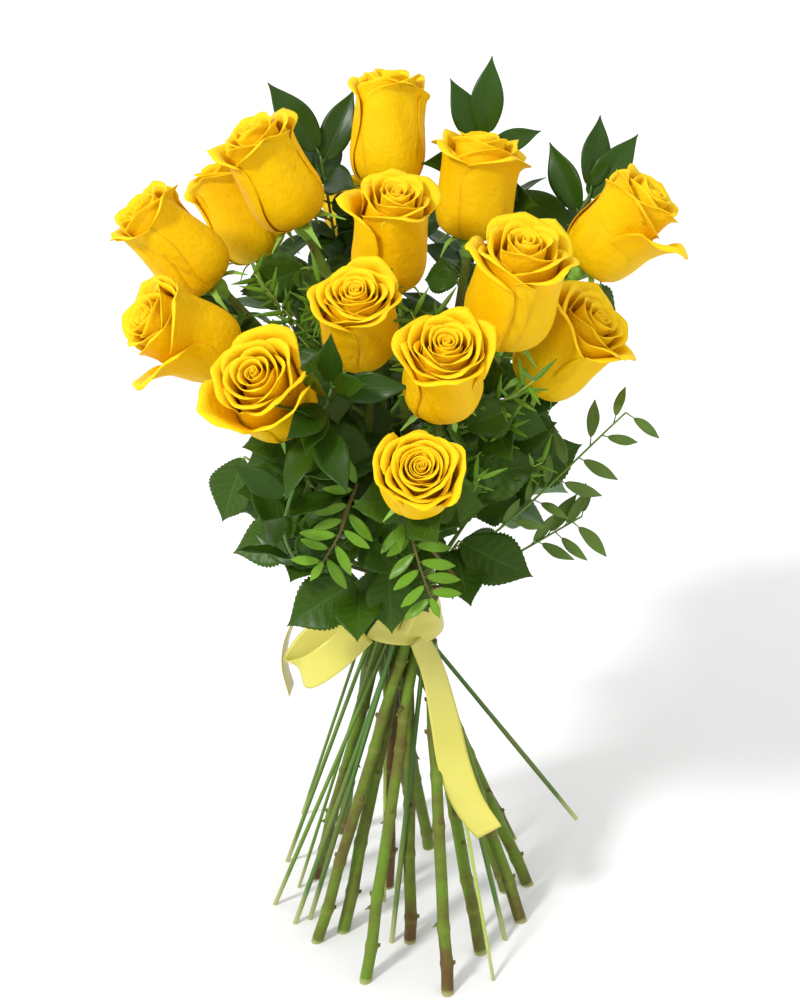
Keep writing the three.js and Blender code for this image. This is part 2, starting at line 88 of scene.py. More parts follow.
# The petals of each bloom: how many, how far the whole bloom has opened, the turn of its first petal in
# degrees, and its loose guard petals as (degrees round the bloom, how far it bends out, how it rolls).
# Round the bloom, -90 is the side it leans to and 90 is the raised side.
HABITS = [
    {"petals": 19, "open": 0.15, "turn": 20, "guards": [(-60, 0.12, 1.0), (60, 0.06, 1.1), (170, 0.1, 1.0)]},
    {"petals": 20, "open": 0.35, "turn": 75, "guards": [(-50, 0.7, 0.6), (40, 0.15, 1.0), (150, 0.1, 1.0)]},
    {"petals": 18, "open": 0.1, "turn": 130, "guards": [(0, 0.06, 1.0), (120, 0.1, 1.0), (-110, 0.1, 1.0)]},
    {"petals": 19, "open": 0.2, "turn": 200, "guards": [(10, 0.06, 1.1), (130, 0.2, 1.2), (-110, 0.15, 1.1)]},
    {"petals": 22, "open": 0.45, "turn": 10, "guards": [(-35, 0.38, 0.5), (-130, 0.4, 0.7), (90, 0.1, 1.0)]},
    {
        "petals": 25, "open": 0.35, "turn": 300,
        "guards": [(-40, 0.15, 1.0), (-150, 0.12, 0.9), (70, 0.08, 0.8)],
    },
    {"petals": 20, "open": 0.2, "turn": 40, "guards": [(-100, 0.08, 1.1), (165, 0.35, 1.2), (30, 0.12, 1.1)]},
    {
        "petals": 17, "open": 0.05, "turn": 100,
        "guards": [(120, 0.15, 1.2), (-20, 0.15, 1.2), (-130, 0.0, 0.8)],
    },
    {"petals": 19, "open": 0.35, "turn": 250, "guards": [(-70, 0.2, 1.3), (60, 0.16, 1.2), (170, 0.2, 1.3)]},
    {"petals": 20, "open": 0.25, "turn": 160, "guards": [(-70, 0.1, 0.9), (30, 0.12, 1.1), (170, 0.14, 1.1)]},
    {"petals": 19, "open": 0.3, "turn": 330, "guards": [(-100, 0.2, 1.0), (150, 0.15, 1.1), (30, 0.12, 1.0)]},
    {
        "petals": 19, "open": 0.35, "turn": 220,
        "guards": [(-130, 0.75, 0.9), (160, 0.12, 1.1), (10, 0.1, 1.0)],
    },
    {"petals": 26, "open": 0.35, "turn": 55, "guards": [(-80, 0.12, 1.0), (20, 0.1, 1.0), (160, 0.12, 1.0)]},
    {"petals": 28, "open": 0.45, "turn": 90, "guards": [(-90, 0.1, 0.8), (0, 0.14, 0.8), (180, 0.14, 0.8)]},
    {"petals": 19, "open": 0.25, "turn": 280, "guards": [(-60, 0.15, 1.0), (60, 0.1, 1.0), (170, 0.1, 1.0)]},
]

RUSCUS = {"radius": 1.4, "shape": 0.42}
RUSCUS_SPRAYS = [
    {
        "name": "ruscus_spray_right", "stem": (20, 359, 15), "via": (51, 39, 124), "end": (112, 50, 250),
        "leaves": [
            (1, 70, 68, 46, 280), (0.98, 20, 48, 50, 270), (0.95, 140, 62, 46, 250), (0.88, 60, 30, 44),
            (0.8, 10, 15, 42, 300), (0.92, 205, 35, 50, 270), (0.85, 230, 10, 48, 280),
            (0.8, 190, 25, 48, 270), (0.74, 250, 20, 46, 290),
        ],
    },
    {
        "name": "ruscus_spray_top", "stem": (14, 8, 18), "via": (57, 53, 170), "end": (50, 62, 279),
        "leaves": [
            (1, 75, 84, 48, 270), (0.98, 165, 60, 46, 270), (0.98, 0, 20, 34, 300), (0.9, 100, 40, 44),
            (0.84, 150, 35, 42, 260), (0.95, 215, 15, 46, 280), (0.9, 300, 5, 46, 260),
            (0.84, 240, 25, 48, 300), (0.78, 290, 40, 46, 250),
        ],
    },
    {
        "name": "ruscus_spray_left", "stem": (20.5, 133, 19.5), "via": (-24, 68, 126), "end": (-47, 66, 268),
        "leaves": [
            (1, 165, 55, 52, 270), (0.98, 30, 62, 48, 270), (0.93, 110, 40, 44), (0.9, 190, 20, 44, 250),
            (0.84, 30, 30, 42, 280), (0.95, 290, 15, 48, 280), (0.9, 330, 0, 46, 270),
            (0.84, 250, 10, 46, 260), (0.78, 300, 35, 46, 280),
        ],
    },
    {
        "name": "ruscus_spray_front", "stem": (20.5, 195, 34.5), "via": (-62, -134, 112),
        "end": (-36, -130, 200), "lift": 30,
        "leaves": [
            (1, 262, 68, 36, 250), (1, 345, 6, 42, 285), (0.98, 252, 38, 42, 245), (0.96, 255, -10, 36),
            (0.93, 238, -35, 42, 240), (1, 300, 25, 34, 275), (0.97, 248, 2, 44, 262),
            (0.94, 290, -25, 46, 270),
        ],
    },
    {
        "name": "ruscus_spray_back", "stem": (20.5, 56, 10.5), "via": (26, 72, 86), "end": (42, 112, 214),
        "leaves": [
            (1, 80, 60, 48, 40), (0.96, 20, 25, 46), (0.92, 140, 20, 46), (0.84, 60, 0, 44),
            (0.76, 110, -10, 42, 100),
        ],
    },
    {
        "name": "ruscus_spray_back_left", "stem": (18, 127, 15), "via": (-46, 78, 81), "end": (-88, 104, 200),
        "leaves": [
            (1, 130, 60, 48, 160), (0.96, 190, 25, 46), (0.92, 90, 20, 46), (0.84, 150, 0, 44),
            (0.76, 110, -15, 42, 140),
        ],
    },
]
MASTIC_SPRAYS = [
    {
        "name": "mastic_sprig_front", "stem": (19.8, 315, 22), "via": (32, -66, 53), "end": (13, -122, 84),
        "twig": [(2, -112, 114), (6, -124, 110), (11, -130, 94), (17, -131, 76)],
    },
    {
        "name": "mastic_sprig_left", "stem": (12.6, 353, 20.5), "via": (-41, -72, 72),
        "end": (-44, -126, 104),
        "twig": [(-24, -112, 134), (-27, -124, 130), (-33, -130, 114), (-42, -131, 98)],
    },
    {
        "name": "trailing_sprig_low", "stem": (19.7, 329, 17), "via": (62, -40, 54), "end": (106, -40, 82),
        "trail": (0.66, 7, 24),
    },
    {
        "name": "trailing_sprig_high", "stem": (20.5, 293, 30), "via": (57, -63, 85), "end": (128, -50, 152),
        "trail": (0.6, 12, 21),
    },
]
FEATHER_SPRAYS = [
    {"name": "feather_sprig_left", "stem": (18.6, 114, 25), "via": (-31, 22, 105), "end": (-48, -46, 216)},
    {"name": "feather_sprig_right", "stem": (9.5, 290, 1), "via": (31, -60, 114), "end": (38, -98, 186)},
]
LEAFLET_PAIRS = [(0.86, 0.86), (0.6, 0.68)]  # place along the petiole, length against the end leaflet's
LEAFLET_ANGLE = 64
ROSE_LEAVES = [
    {"name": "rose_leaf_01", "start": (-27, -8, 34), "knee": (-54, -48, 76), "face": (192, -8, 46, 262)},
    {"name": "rose_leaf_02", "start": (-30, 2, 48), "knee": (-92, -8, 106), "face": (200, -72, 46, 236)},
    {"name": "rose_leaf_03", "start": (-19, -21, 22), "knee": (-24, -56, 48), "face": (206, -24, 50, 262)},
    {"name": "rose_leaf_04", "start": (-2, -27, 26), "knee": (-6, -60, 62), "face": (272, -52, 42, 270)},
    {"name": "rose_leaf_05", "start": (20, -19, 24), "knee": (34, -60, 76), "face": (338, -18, 48, 276)},
    {"name": "rose_leaf_06", "start": (27, -10, 42), "knee": (60, -36, 106), "face": (8, 24, 50, 280)},
    {"name": "rose_leaf_07", "start": (-24, -16, 50), "knee": (-52, -80, 124), "face": (215, 8, 46, 258)},
    {"name": "rose_leaf_08", "start": (14, -24, 52), "knee": (34, -76, 124), "face": (335, 22, 48, 280)},
    {"name": "rose_leaf_09", "start": (26, 14, 30), "knee": (62, 40, 66), "face": (30, -5, 52, 60)},
    {"name": "rose_leaf_10", "start": (-4, 29, 30), "knee": (-6, 74, 80), "face": (95, -15, 54, 95)},
    {"name": "rose_leaf_11", "start": (-27, 14, 28), "knee": (-66, 46, 66), "face": (150, -5, 52, 120)},
    {"name": "rose_leaf_12", "start": (-10, -26, 46), "knee": (-24, -70, 92), "face": (232, -10, 46, 262)},
]
TWINE = {"turns": 3, "radius": 22.9, "cord": 0.8, "pitch": 1.6, "ply_depth": 0.16, "ply_twists": 40}
RIBBON_WIDTH = 20
RIBBON_LENGTHS = [
    {
        "name": "ribbon_bow_loop",
        "points": [
            (-22, -14, 5), (-38, -14, -3), (-54, -18, -15), (-62, -25, -26), (-56, -33, -26), (-40, -34, -14),
            (-23, -23, -2)
        ],
        "start": (0.45, -0.35, -0.82), "end": (0.45, -0.35, -0.82),
    },
    {
        "name": "ribbon_tail_right",
        "points": [
            (11, -26, -6), (20, -31, -26), (27, -35, -56), (33, -40, -86), (42, -46, -110), (55, -52, -128)
        ],
        "start": (0.4, 0.9, 0.1), "end": (0.85, -0.3, 0.4),
    },
    {
        "name": "ribbon_tail_left",
        "points": [
            (-26, -3, 9), (-42, -4, 12), (-58, -6, 5), (-68, -8, -12), (-71, -10, -31), (-67, -12, -50)
        ],
        "start": (0.05, 0.9, -0.4), "end": (0.15, 0.9, -0.3),
    },
]
RIBBON_WRAP = {"radius": 25.3, "cone": 1.9, "length": 2 * math.pi * 25.5}
RIBBON_KNOT = {"centre": (5, -27, 7), "radius": 4.2, "turns": 1.6, "width_share": 0.9}
SEAM = 0.01 * MM  # points nearer than this are merged
STAGE = {
    "floor": 60, "sun": 2.1, "sun_spread": 9, "sun_way": (228, 40), "lens": 85, "sensor": 36,
    "camera_distance": 1.417, "camera_way": (270, 25), "aim_above_tie": 0.074,
}


# ---- Colours ----
def linear(colour):
    """An sRGB hex colour as linear red, green, blue and alpha."""
    channels = [int(colour[i : i + 2], 16) / 255 for i in (1, 3, 5)]
    return [c / 12.92 if c <= 0.04045 else ((c + 0.055) / 1.055) ** 2.4 for c in channels] + [1.0]


def lighter(colour, times):
    return [min(1, c * times) for c in list(colour)[:3]] + [1]


def colour_choice(name, description, default):
    return bpy.props.FloatVectorProperty(
        name=name, description=description, default=linear(default), size=4, min=0, max=1, subtype="COLOR"
    )


class BouquetSizes(bpy.types.PropertyGroup):
    """Sizes that a maker would change."""

    petal_wall: bpy.props.FloatProperty(
        name="Petal thickness", description="Thickness of a petal", default=0.36 * MM, min=0.1 * MM,
        max=2 * MM,
        subtype="DISTANCE", unit="LENGTH",
    )
    leaf_wall: bpy.props.FloatProperty(
        name="Leaf thickness", description="Thickness of a leaf", default=0.4 * MM, min=0.1 * MM, max=2 * MM,
        subtype="DISTANCE", unit="LENGTH",
    )
    ribbon_wall: bpy.props.FloatProperty(
        name="Ribbon thickness", description="Thickness of the satin", default=0.35 * MM, min=0.1 * MM,
        max=1 * MM,
        subtype="DISTANCE", unit="LENGTH",
    )
    node_spacing: bpy.props.FloatProperty(
        name="Node spacing", description="Distance between the nodes of a rose stem", default=38 * MM,
        min=15 * MM,
        max=80 * MM, subtype="DISTANCE", unit="LENGTH",
    )


class BouquetColours(bpy.types.PropertyGroup):
    """Colours that a maker would change."""

    petal: colour_choice("Petal", "The open face of a petal", "#f4c003")
    # Heart: a painted glow and shade, the deeper orange of light caught between the inner petals.
    heart: colour_choice("Heart", "Deep in the bloom, between the petals", "#eea303")
    lip: colour_choice("Lip", "The thin edge of a petal", "#f9cf1e")
    stem: colour_choice("Rose stem", "The skin of a rose stem", "#526a1c")
    stem_brown: colour_choice("Ripe stem", "Bark colour near nodes and on old stems", "#5d4526")
    scar: colour_choice("Node scar", "The ring that a leaf leaves on a stem", "#7d7a3c")
    ruscus: colour_choice("Ruscus", "The upper side of a ruscus leaf", "#264008")
    rose_leaf: colour_choice("Rose leaf", "The upper side of a rose leaf", "#304a0a")
    mastic: colour_choice("Mastic", "A mastic leaflet", "#577d16")
    feather: colour_choice("Feathery sprig", "A narrow filler leaf", "#4d6f18")
    satin: colour_choice("Satin", "The ribbon", "#d2cc66")
    twine: colour_choice("Twine", "The binding twine", "#a98a52")


# ---- Small mathematics ----
def unit(v):
    return v / np.linalg.norm(v)


def towards(azimuth, lift):
    """The unit vector towards an azimuth, raised from the level by lift, both in degrees."""
    a, e = math.radians(azimuth), math.radians(lift)
    return np.array([math.cos(a) * math.cos(e), math.sin(a) * math.cos(e), math.sin(e)])


def smooth(low, high, x):
    t = np.clip((np.asarray(x, float) - low) / (high - low), 0, 1)
    return t * t * (3 - 2 * t)


def smooth_line(points, count):
    """count + 1 points on a smooth line through the given ones."""
    p = np.array(points, float)
    p = np.vstack([2 * p[0] - p[1], p, 2 * p[-1] - p[-2]])
    at = np.linspace(0, len(points) - 1, count + 1)
    i = np.minimum(at.astype(int), len(points) - 2)
    t = (at - i)[:, None]
    a, b, c, d = p[i], p[i + 1], p[i + 2], p[i + 3]
    return 0.5 * (2 * b + (c - a) * t + (2 * a - 5 * b + 4 * c - d) * t**2 + (3 * b - a - 3 * c + d) * t**3)


def lengths_along(points):
    return np.concatenate([[0], np.cumsum(np.linalg.norm(np.diff(points, axis=0), axis=1))])


def frames_along(points):
    """Two directions across a line at each of its points, turning as little as they can."""
    along = np.gradient(points, axis=0)
    along /= np.linalg.norm(along, axis=1)[:, None]
    first, second = [], []
    u = np.array([1.0, 0.0, 0.0]) if abs(along[0][0]) < 0.9 else np.array([0.0, 1.0, 0.0])
    for t in along:
        u = unit(u - u.dot(t) * t)
        first.append(u)
        second.append(np.cross(t, u))
    return along, np.array(first), np.array(second)


# ---- Modelling ----
SHEETS = {}  # flat sheets by their numbers of faces, each made once and copied


def select_only(*pieces):
    bpy.ops.object.select_all(action="DESELECT")
    for piece in pieces:
        piece.select_set(True)
    bpy.context.view_layer.objects.active = pieces[0]


def sheet_of(columns, rows, place, **marks):
    """A sheet of columns by rows faces, whose points place(u, v) moves in millimetres from the tie.
    u runs from -1 to 1 across it and v from 0 to 1 along it; marks are values kept at its points."""
    if (columns, rows) not in SHEETS:
        bpy.ops.object.select_all(action="DESELECT")
        bpy.ops.mesh.primitive_grid_add(x_subdivisions=columns, y_subdivisions=rows, size=2)
        flat = bpy.context.object
        bpy.ops.object.shade_smooth()
        at = np.empty(len(flat.data.vertices) * 3)
        flat.data.vertices.foreach_get("co", at)
        at = at.reshape(-1, 3)
        SHEETS[columns, rows] = (flat.data, at[:, 0].copy(), (at[:, 1] + 1) / 2)
        bpy.data.objects.remove(flat)
    flat, u, v = SHEETS[columns, rows]
    mesh = flat.copy()
    mesh.vertices.foreach_set("co", (TIE + np.asarray(place(u, v)) * MM).astype(np.float32).ravel())
    for name, value in marks.items():
        values = value(u, v) if callable(value) else np.full(len(u), value)
        mesh.attributes.new(name, "FLOAT", "POINT").data.foreach_set("value", values.astype(np.float32))
    made = bpy.data.objects.new("sheet", mesh)
    bpy.context.scene.collection.objects.link(made)
    return made


def tube(points, radii, sides, shape=None, **marks):
    """A round bar along points with a radius at each, open at its ends until it is closed."""
    points, radii = np.asarray(points, float), np.asarray(radii, float)
    _, across, beside = frames_along(points)
    rows = len(points) - 1

    def place(u, v):
        i = np.rint(v * rows).astype(int)
        turn = math.pi * (u + 1)
        r = radii[i] * (1 if shape is None else shape(turn, i))
        return points[i] + r[:, None] * (
            np.cos(turn)[:, None] * across[i] + np.sin(turn)[:, None] * beside[i]
        )

    return sheet_of(sides, rows, place, **marks)


def join(name, parts):
    if len(parts) > 1:
        select_only(*parts)
        bpy.ops.object.join()
    parts[0].name = name
    parts[0].data.name = name
    return parts[0]


def close(piece, fill=True):
    """Merges the seams of a piece's rolled sheets, and fills its open ends unless it stays a band."""
    select_only(piece)
    bpy.ops.object.mode_set(mode="EDIT")
    bpy.ops.mesh.select_all(action="SELECT")
    bpy.ops.mesh.remove_doubles(threshold=SEAM)
    if fill:
        bpy.ops.mesh.select_all(action="SELECT")
        bpy.ops.mesh.fill_holes(sides=0)
    bpy.ops.object.mode_set(mode="OBJECT")
    return piece


def thicken(piece, wall, side=0.0, underside=False):
    """Gives a sheet its wall; the underside takes the piece's next material."""
    select_only(piece)
    solid = piece.modifiers.new("wall", "SOLIDIFY")
    solid.thickness = wall
    solid.offset = side
    solid.material_offset = 1 if underside else 0
    bpy.ops.object.modifier_apply(modifier=solid.name)
    return piece


def finish_piece(piece, slot, *nodes):
    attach(piece, BODY)
    if nodes:
        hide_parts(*nodes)
    return piece


def dress(piece, *finishes):
    for finish in finishes:
        piece.data.materials.append(finish)
    return piece


# ---- Materials ----
def add_node(tree, kind, settings=None, inputs=None):
    """Adds a node with its settings; an input is a value, or the socket that it is linked from."""
    node = tree.nodes.new(kind)
    for name, value in (settings or {}).items():
        setattr(node, name, value)
    for name, value in (inputs or {}).items():
        if isinstance(value, bpy.types.NodeSocket):
            tree.links.new(value, node.inputs[name])
        else:
            node.inputs[name].default_value = value
    return node


MIX = {"data_type": "RGBA"}
MIX_FACTOR, MIX_A, MIX_B, MIX_RESULT = 0, 6, 7, 2  # the places of a colour mix's sockets
SOFT_STEP = {"interpolation_type": "SMOOTHSTEP"}


def new_finish(name, **values):
    """A material with a shader whose sockets hold the given values."""
    made = bpy.data.materials.new(name)
    made.use_nodes = True
    shader = made.node_tree.nodes["Principled BSDF"]
    for socket, value in values.items():
        shader.inputs[socket.replace("_", " ")].default_value = value
    return made, made.node_tree, shader


def paint(tree, shader, ground, *layers):
    """Lays colours over a ground colour, each by its own amount, and gives the result to the shader."""
    for amount, colour in layers:
        mix = add_node(tree, "ShaderNodeMix", MIX, {MIX_FACTOR: amount, MIX_A: ground, MIX_B: colour})
        ground = mix.outputs[MIX_RESULT]
    tree.links.new(ground, shader.inputs["Base Color"])


def petal_finish(colours):
    """Rose petal: a soft, slightly velvety skin that lets light through. Its inner petals are painted in the
    deeper orange of the heart colour, a painted glow and shade for the light caught between the whorls. Fine
    veins run along it, about one in each 0.7 mm, and its thin edge is paler."""
    made, tree, shader = new_finish(
        "rose petal", Roughness=0.5, Subsurface_Weight=0.22, Subsurface_Radius=(1.0, 0.55, 0.12),
        Subsurface_Scale=0.004,
        Specular_IOR_Level=0.08,
    )
    uv = add_node(tree, "ShaderNodeUVMap")
    split = add_node(tree, "ShaderNodeSeparateXYZ", inputs={0: uv.outputs[0]})
    layer = add_node(tree, "ShaderNodeAttribute", {"attribute_name": "layer"})
    tone = add_node(tree, "ShaderNodeAttribute", {"attribute_name": "tone"})
    place = add_node(tree, "ShaderNodeTexCoord")
    # painted glow and shade: the inner petals take the deeper heart colour, fading to the petal colour
    # outwards
    depth = add_node(
        tree, "ShaderNodeMapRange", SOFT_STEP,
        {"Value": layer.outputs["Fac"], "From Min": 0.0, "From Max": 0.55, "To Min": 0.0, "To Max": 1.0},
    )
    mottle = add_node(
        tree, "ShaderNodeTexNoise", inputs={
            "Vector": place.outputs["Object"], "Scale": 55, "Detail": 3, "Roughness": 0.5
        }
    )
    warm = add_node(
        tree, "ShaderNodeMapRange",
        inputs={
            "Value": mottle.outputs[0], "From Min": 0.35, "From Max": 0.75, "To Min": 0.0, "To Max": 0.35
        },
    )
    rim = add_node(
        tree, "ShaderNodeMapRange", SOFT_STEP,
        {"Value": split.outputs[1], "From Min": 0.78, "From Max": 1.0, "To Min": 0.0, "To Max": 0.75},
    )
    foot = add_node(
        tree, "ShaderNodeMapRange", SOFT_STEP,
        {"Value": split.outputs[1], "From Min": 0.0, "From Max": 0.14, "To Min": 0.45, "To Max": 0.0},
    )
    # the ground colour is the painted heart glow and shade, under the petal's own colours
    paint(
        tree, shader, list(colours.heart), (
            depth.outputs[0], list(colours.petal)
        ), (warm.outputs[0], linear("#eda902")),
        (tone.outputs["Fac"], linear("#f0b303")), (rim.outputs[0], list(colours.lip)),
        (foot.outputs[0], linear("#d9c23a")),
    )
    strands = add_node(
        tree, "ShaderNodeMapping", inputs={"Vector": uv.outputs[0], "Scale": (46, 3, 1)}
    )
    veins = add_node(
        tree, "ShaderNodeTexNoise",
        inputs={"Vector": strands.outputs[0], "Scale": 1, "Detail": 4, "Roughness": 0.55, "Distortion": 0.4},
    )
    creases = add_node(
        tree, "ShaderNodeTexNoise", inputs={
            "Vector": place.outputs["Object"], "Scale": 190, "Detail": 3, "Roughness": 0.6
        }
    )
    soft = add_node(
        tree, "ShaderNodeBump", inputs={"Height": creases.outputs[0], "Strength": 0.5, "Distance": 2 * MM}
    )
    bump = add_node(
        tree, "ShaderNodeBump",
        inputs={
            "Height": veins.outputs[0], "Strength": 0.45, "Distance": 0.7 * MM, "Normal": soft.outputs[0]
        },
    )
    tree.links.new(bump.outputs[0], shader.inputs["Normal"])
    return made


def stem_finish(name, colours, skin, brown, roughness):
    """Plant stem: a waxy green skin with fine streaks along it, brown where it has ripened, a pale ring at
    each node and pale wood at the cut."""
    made, tree, shader = new_finish(name, Roughness=roughness, Specular_IOR_Level=0.18)
    place = add_node(tree, "ShaderNodeTexCoord")
    patches = add_node(
        tree, "ShaderNodeTexNoise", inputs={
            "Vector": place.outputs["Object"], "Scale": 38, "Detail": 4, "Roughness": 0.6
        }
    )
    stretched = add_node(
        tree, "ShaderNodeMapping", inputs={"Vector": place.outputs["Object"], "Scale": (1, 1, 0.12)}
    )
    streaks = add_node(
        tree, "ShaderNodeTexNoise", inputs={
            "Vector": stretched.outputs[0], "Scale": 900, "Detail": 3, "Roughness": 0.6
        }
    )
    wood = add_node(tree, "ShaderNodeAttribute", {"attribute_name": "wood"})
    ring = add_node(tree, "ShaderNodeAttribute", {"attribute_name": "ring"})
    cut = add_node(tree, "ShaderNodeAttribute", {"attribute_name": "cut"})
    spread = add_node(
        tree, "ShaderNodeMapRange",
        inputs={
            "Value": patches.outputs[0], "From Min": 0.4, "From Max": 0.7, "To Min": -0.1, "To Max": brown
        },
    )
    ripe = add_node(
        tree, "ShaderNodeMath", {"operation": "ADD", "use_clamp": True}, {
            0: spread.outputs[0], 1: wood.outputs["Fac"]
        }
    )
    paint(
        tree, shader, list(skin), (streaks.outputs[0], lighter(skin, 1.75)), (
            ripe.outputs[0], list(colours.stem_brown)
        ),
        (ring.outputs["Fac"], list(colours.scar)), (cut.outputs["Fac"], linear("#c9c98a")),
    )
    bump = add_node(
        tree, "ShaderNodeBump", inputs={"Height": streaks.outputs[0], "Strength": 0.35, "Distance": 0.3 * MM}
    )
    tree.links.new(bump.outputs[0], shader.inputs["Normal"])
    return made


def leaf_finish(name, skin, vein, roughness, pairs, slant, gloss, blotch=0.35, vein_strength=0.5):
    """Leaf: a waxy skin over a net of veins. A midrib runs up the middle, and pairs of side veins leave it
    forwards; fine cells between them break up the shine."""
    made, tree, shader = new_finish(
        name, Roughness=roughness, Coat_Weight=gloss, Coat_Roughness=0.25, Specular_IOR_Level=0.14,
        Subsurface_Weight=0.06, Subsurface_Radius=(0.3, 0.8, 0.1), Subsurface_Scale=0.002,
    )
    uv = add_node(tree, "ShaderNodeUVMap")
    split = add_node(tree, "ShaderNodeSeparateXYZ", inputs={0: uv.outputs[0]})
    place = add_node(tree, "ShaderNodeTexCoord")
    from_middle = add_node(tree, "ShaderNodeMath", {"operation": "SUBTRACT"}, {0: split.outputs[0], 1: 0.5})
    side = add_node(tree, "ShaderNodeMath", {"operation": "ABSOLUTE"}, {0: from_middle.outputs[0]})
    climb = add_node(tree, "ShaderNodeMath", {"operation": "MULTIPLY"}, {0: side.outputs[0], 1: slant})
    count = add_node(
        tree, "ShaderNodeMath", {"operation": "MULTIPLY_ADD"}, {0: split.outputs[1], 1: pairs, 2: 0.15}
    )
    phase = add_node(
        tree, "ShaderNodeMath", {"operation": "SUBTRACT"}, {0: count.outputs[0], 1: climb.outputs[0]}
    )
    wave = add_node(tree, "ShaderNodeMath", {"operation": "PINGPONG"}, {0: phase.outputs[0], 1: 0.5})
    side_vein = add_node(
        tree, "ShaderNodeMapRange", SOFT_STEP,
        {"Value": wave.outputs[0], "From Min": 0.0, "From Max": 0.09, "To Min": 1.0, "To Max": 0.0},
    )
    midrib = add_node(
        tree, "ShaderNodeMapRange", SOFT_STEP,
        {"Value": side.outputs[0], "From Min": 0.008, "From Max": 0.035, "To Min": 1.0, "To Max": 0.0},
    )
    net = add_node(
        tree, "ShaderNodeMath", {"operation": "MAXIMUM"}, {0: side_vein.outputs[0], 1: midrib.outputs[0]}
    )
    shown = add_node(tree, "ShaderNodeMath", {"operation": "MULTIPLY"}, {0: net.outputs[0], 1: vein_strength})
    mottle = add_node(
        tree, "ShaderNodeTexNoise", inputs={
            "Vector": place.outputs["Object"], "Scale": 70, "Detail": 4, "Roughness": 0.55
        }
    )
    tone = add_node(tree, "ShaderNodeAttribute", {"attribute_name": "tone"})
    patch = add_node(
        tree, "ShaderNodeMath", {"operation": "MULTIPLY_ADD", "use_clamp": True},
        {0: mottle.outputs[0], 1: blotch, 2: tone.outputs["Fac"]},
    )
    paint(tree, shader, list(skin), (patch.outputs[0], lighter(skin, 1.9)), (shown.outputs[0], list(vein)))
    cells = add_node(
        tree, "ShaderNodeTexNoise", inputs={
            "Vector": place.outputs["Object"], "Scale": 1100, "Detail": 2, "Roughness": 0.5
        }
    )
    sunk = add_node(
        tree, "ShaderNodeMath", {"operation": "MULTIPLY_ADD"}, {
            0: cells.outputs[0], 1: 0.25, 2: net.outputs[0]
        }
    )
    bump = add_node(
        tree, "ShaderNodeBump", {"invert": True}, {
            "Height": sunk.outputs[0], "Strength": 0.4, "Distance": 0.35 * MM
        }
    )
    tree.links.new(bump.outputs[0], shader.inputs["Normal"])
    return made


def satin_finish(colours):
    """Satin ribbon: a warp-faced weave of fine polyester threads, so it shines in a soft band. The threads
    are about 0.1 mm apart in the real weave, and are drawn 0.35 mm apart here so that they show."""
    made, tree, shader = new_finish(
        "satin ribbon", Roughness=0.34, Sheen_Weight=0.35, Sheen_Roughness=0.3, Anisotropic=0.55,
        Specular_IOR_Level=0.55, Subsurface_Weight=0.08, Subsurface_Scale=0.002,
    )
    uv = add_node(tree, "ShaderNodeUVMap")
    place = add_node(tree, "ShaderNodeTexCoord")
    threads = add_node(tree, "ShaderNodeMapping", inputs={"Vector": uv.outputs[0], "Scale": (57, 6, 1)})
    weave = add_node(
        tree, "ShaderNodeTexNoise", inputs={
            "Vector": threads.outputs[0], "Scale": 1, "Detail": 2, "Roughness": 0.5
        }
    )
    cloud = add_node(
        tree, "ShaderNodeTexNoise", inputs={"Vector": place.outputs["Object"], "Scale": 40, "Detail": 2}
    )
    paint(tree, shader, list(colours.satin), (cloud.outputs[0], linear("#c8c048")))
    bump = add_node(
        tree, "ShaderNodeBump", inputs={"Height": weave.outputs[0], "Strength": 0.12, "Distance": 0.2 * MM}
    )
    tree.links.new(bump.outputs[0], shader.inputs["Normal"])
    return made


def twine_finish(colours):
    """Jute twine: twisted bast fibres, matt and hairy, in light and dark strands."""
    made, tree, shader = new_finish("jute twine", Roughness=0.85, Sheen_Weight=0.2)
    place = add_node(tree, "ShaderNodeTexCoord")
    fibres = add_node(
        tree, "ShaderNodeTexNoise", inputs={
            "Vector": place.outputs["Object"], "Scale": 1500, "Detail": 4, "Roughness": 0.7
        }
    )
    paint(tree, shader, linear("#7d6236"), (fibres.outputs[0], list(colours.twine)))
    bump = add_node(
        tree, "ShaderNodeBump", inputs={"Height": fibres.outputs[0], "Strength": 0.6, "Distance": 0.3 * MM}
    )
    tree.links.new(bump.outputs[0], shader.inputs["Normal"])
    return made


def floor_finish():
    """Matt paper sweep: nearly white, with the faintest unevenness."""
    made, tree, shader = new_finish("paper sweep", Roughness=0.9, Specular_IOR_Level=0.1)
    place = add_node(tree, "ShaderNodeTexCoord")
    cloud = add_node(
        tree, "ShaderNodeTexNoise", inputs={"Vector": place.outputs["Object"], "Scale": 1.5, "Detail": 1}
    )
    paint(tree, shader, linear("#eeeeee"), (cloud.outputs[0], linear("#ececec")))
    return made


# ---- Stem lines ----
def stem_line(stem, lift, end, end_direction, via=None, below_rows=8, detail=6):
    """The line of a stem from its cut end, straight through the tie and bending to its end.
    Returns the points and how many of them are below the tie."""
    radius, slot, splay = stem
    through = towards(slot - 90, 0) * radius
    rise = towards(slot, 90 - splay)
    foot = through - rise * (TIE_HEIGHT - lift) / rise[2]
    bends = []
    if via is None:
        bends.append((through, rise, end, end_direction))
    else:
        passing = unit(end - through)
        bends += [(through, rise, via, passing), (via, passing, end, end_direction)]
    points = [foot + (through - foot) * t for t in np.linspace(0, 1, below_rows + 1)]
    for start, leaving, stop, arriving in bends:
        span = np.linalg.norm(stop - start)
        a, b = start + leaving * span * 0.36, stop - arriving * span * 0.36
        for t in np.linspace(0, 1, max(2, round(span / 40)) * detail + 1)[1:]:
            s = 1 - t
            points.append(s**3 * start + 3 * s * s * t * a + 3 * s * t * t * b + t**3 * stop)
    return np.array(points), below_rows


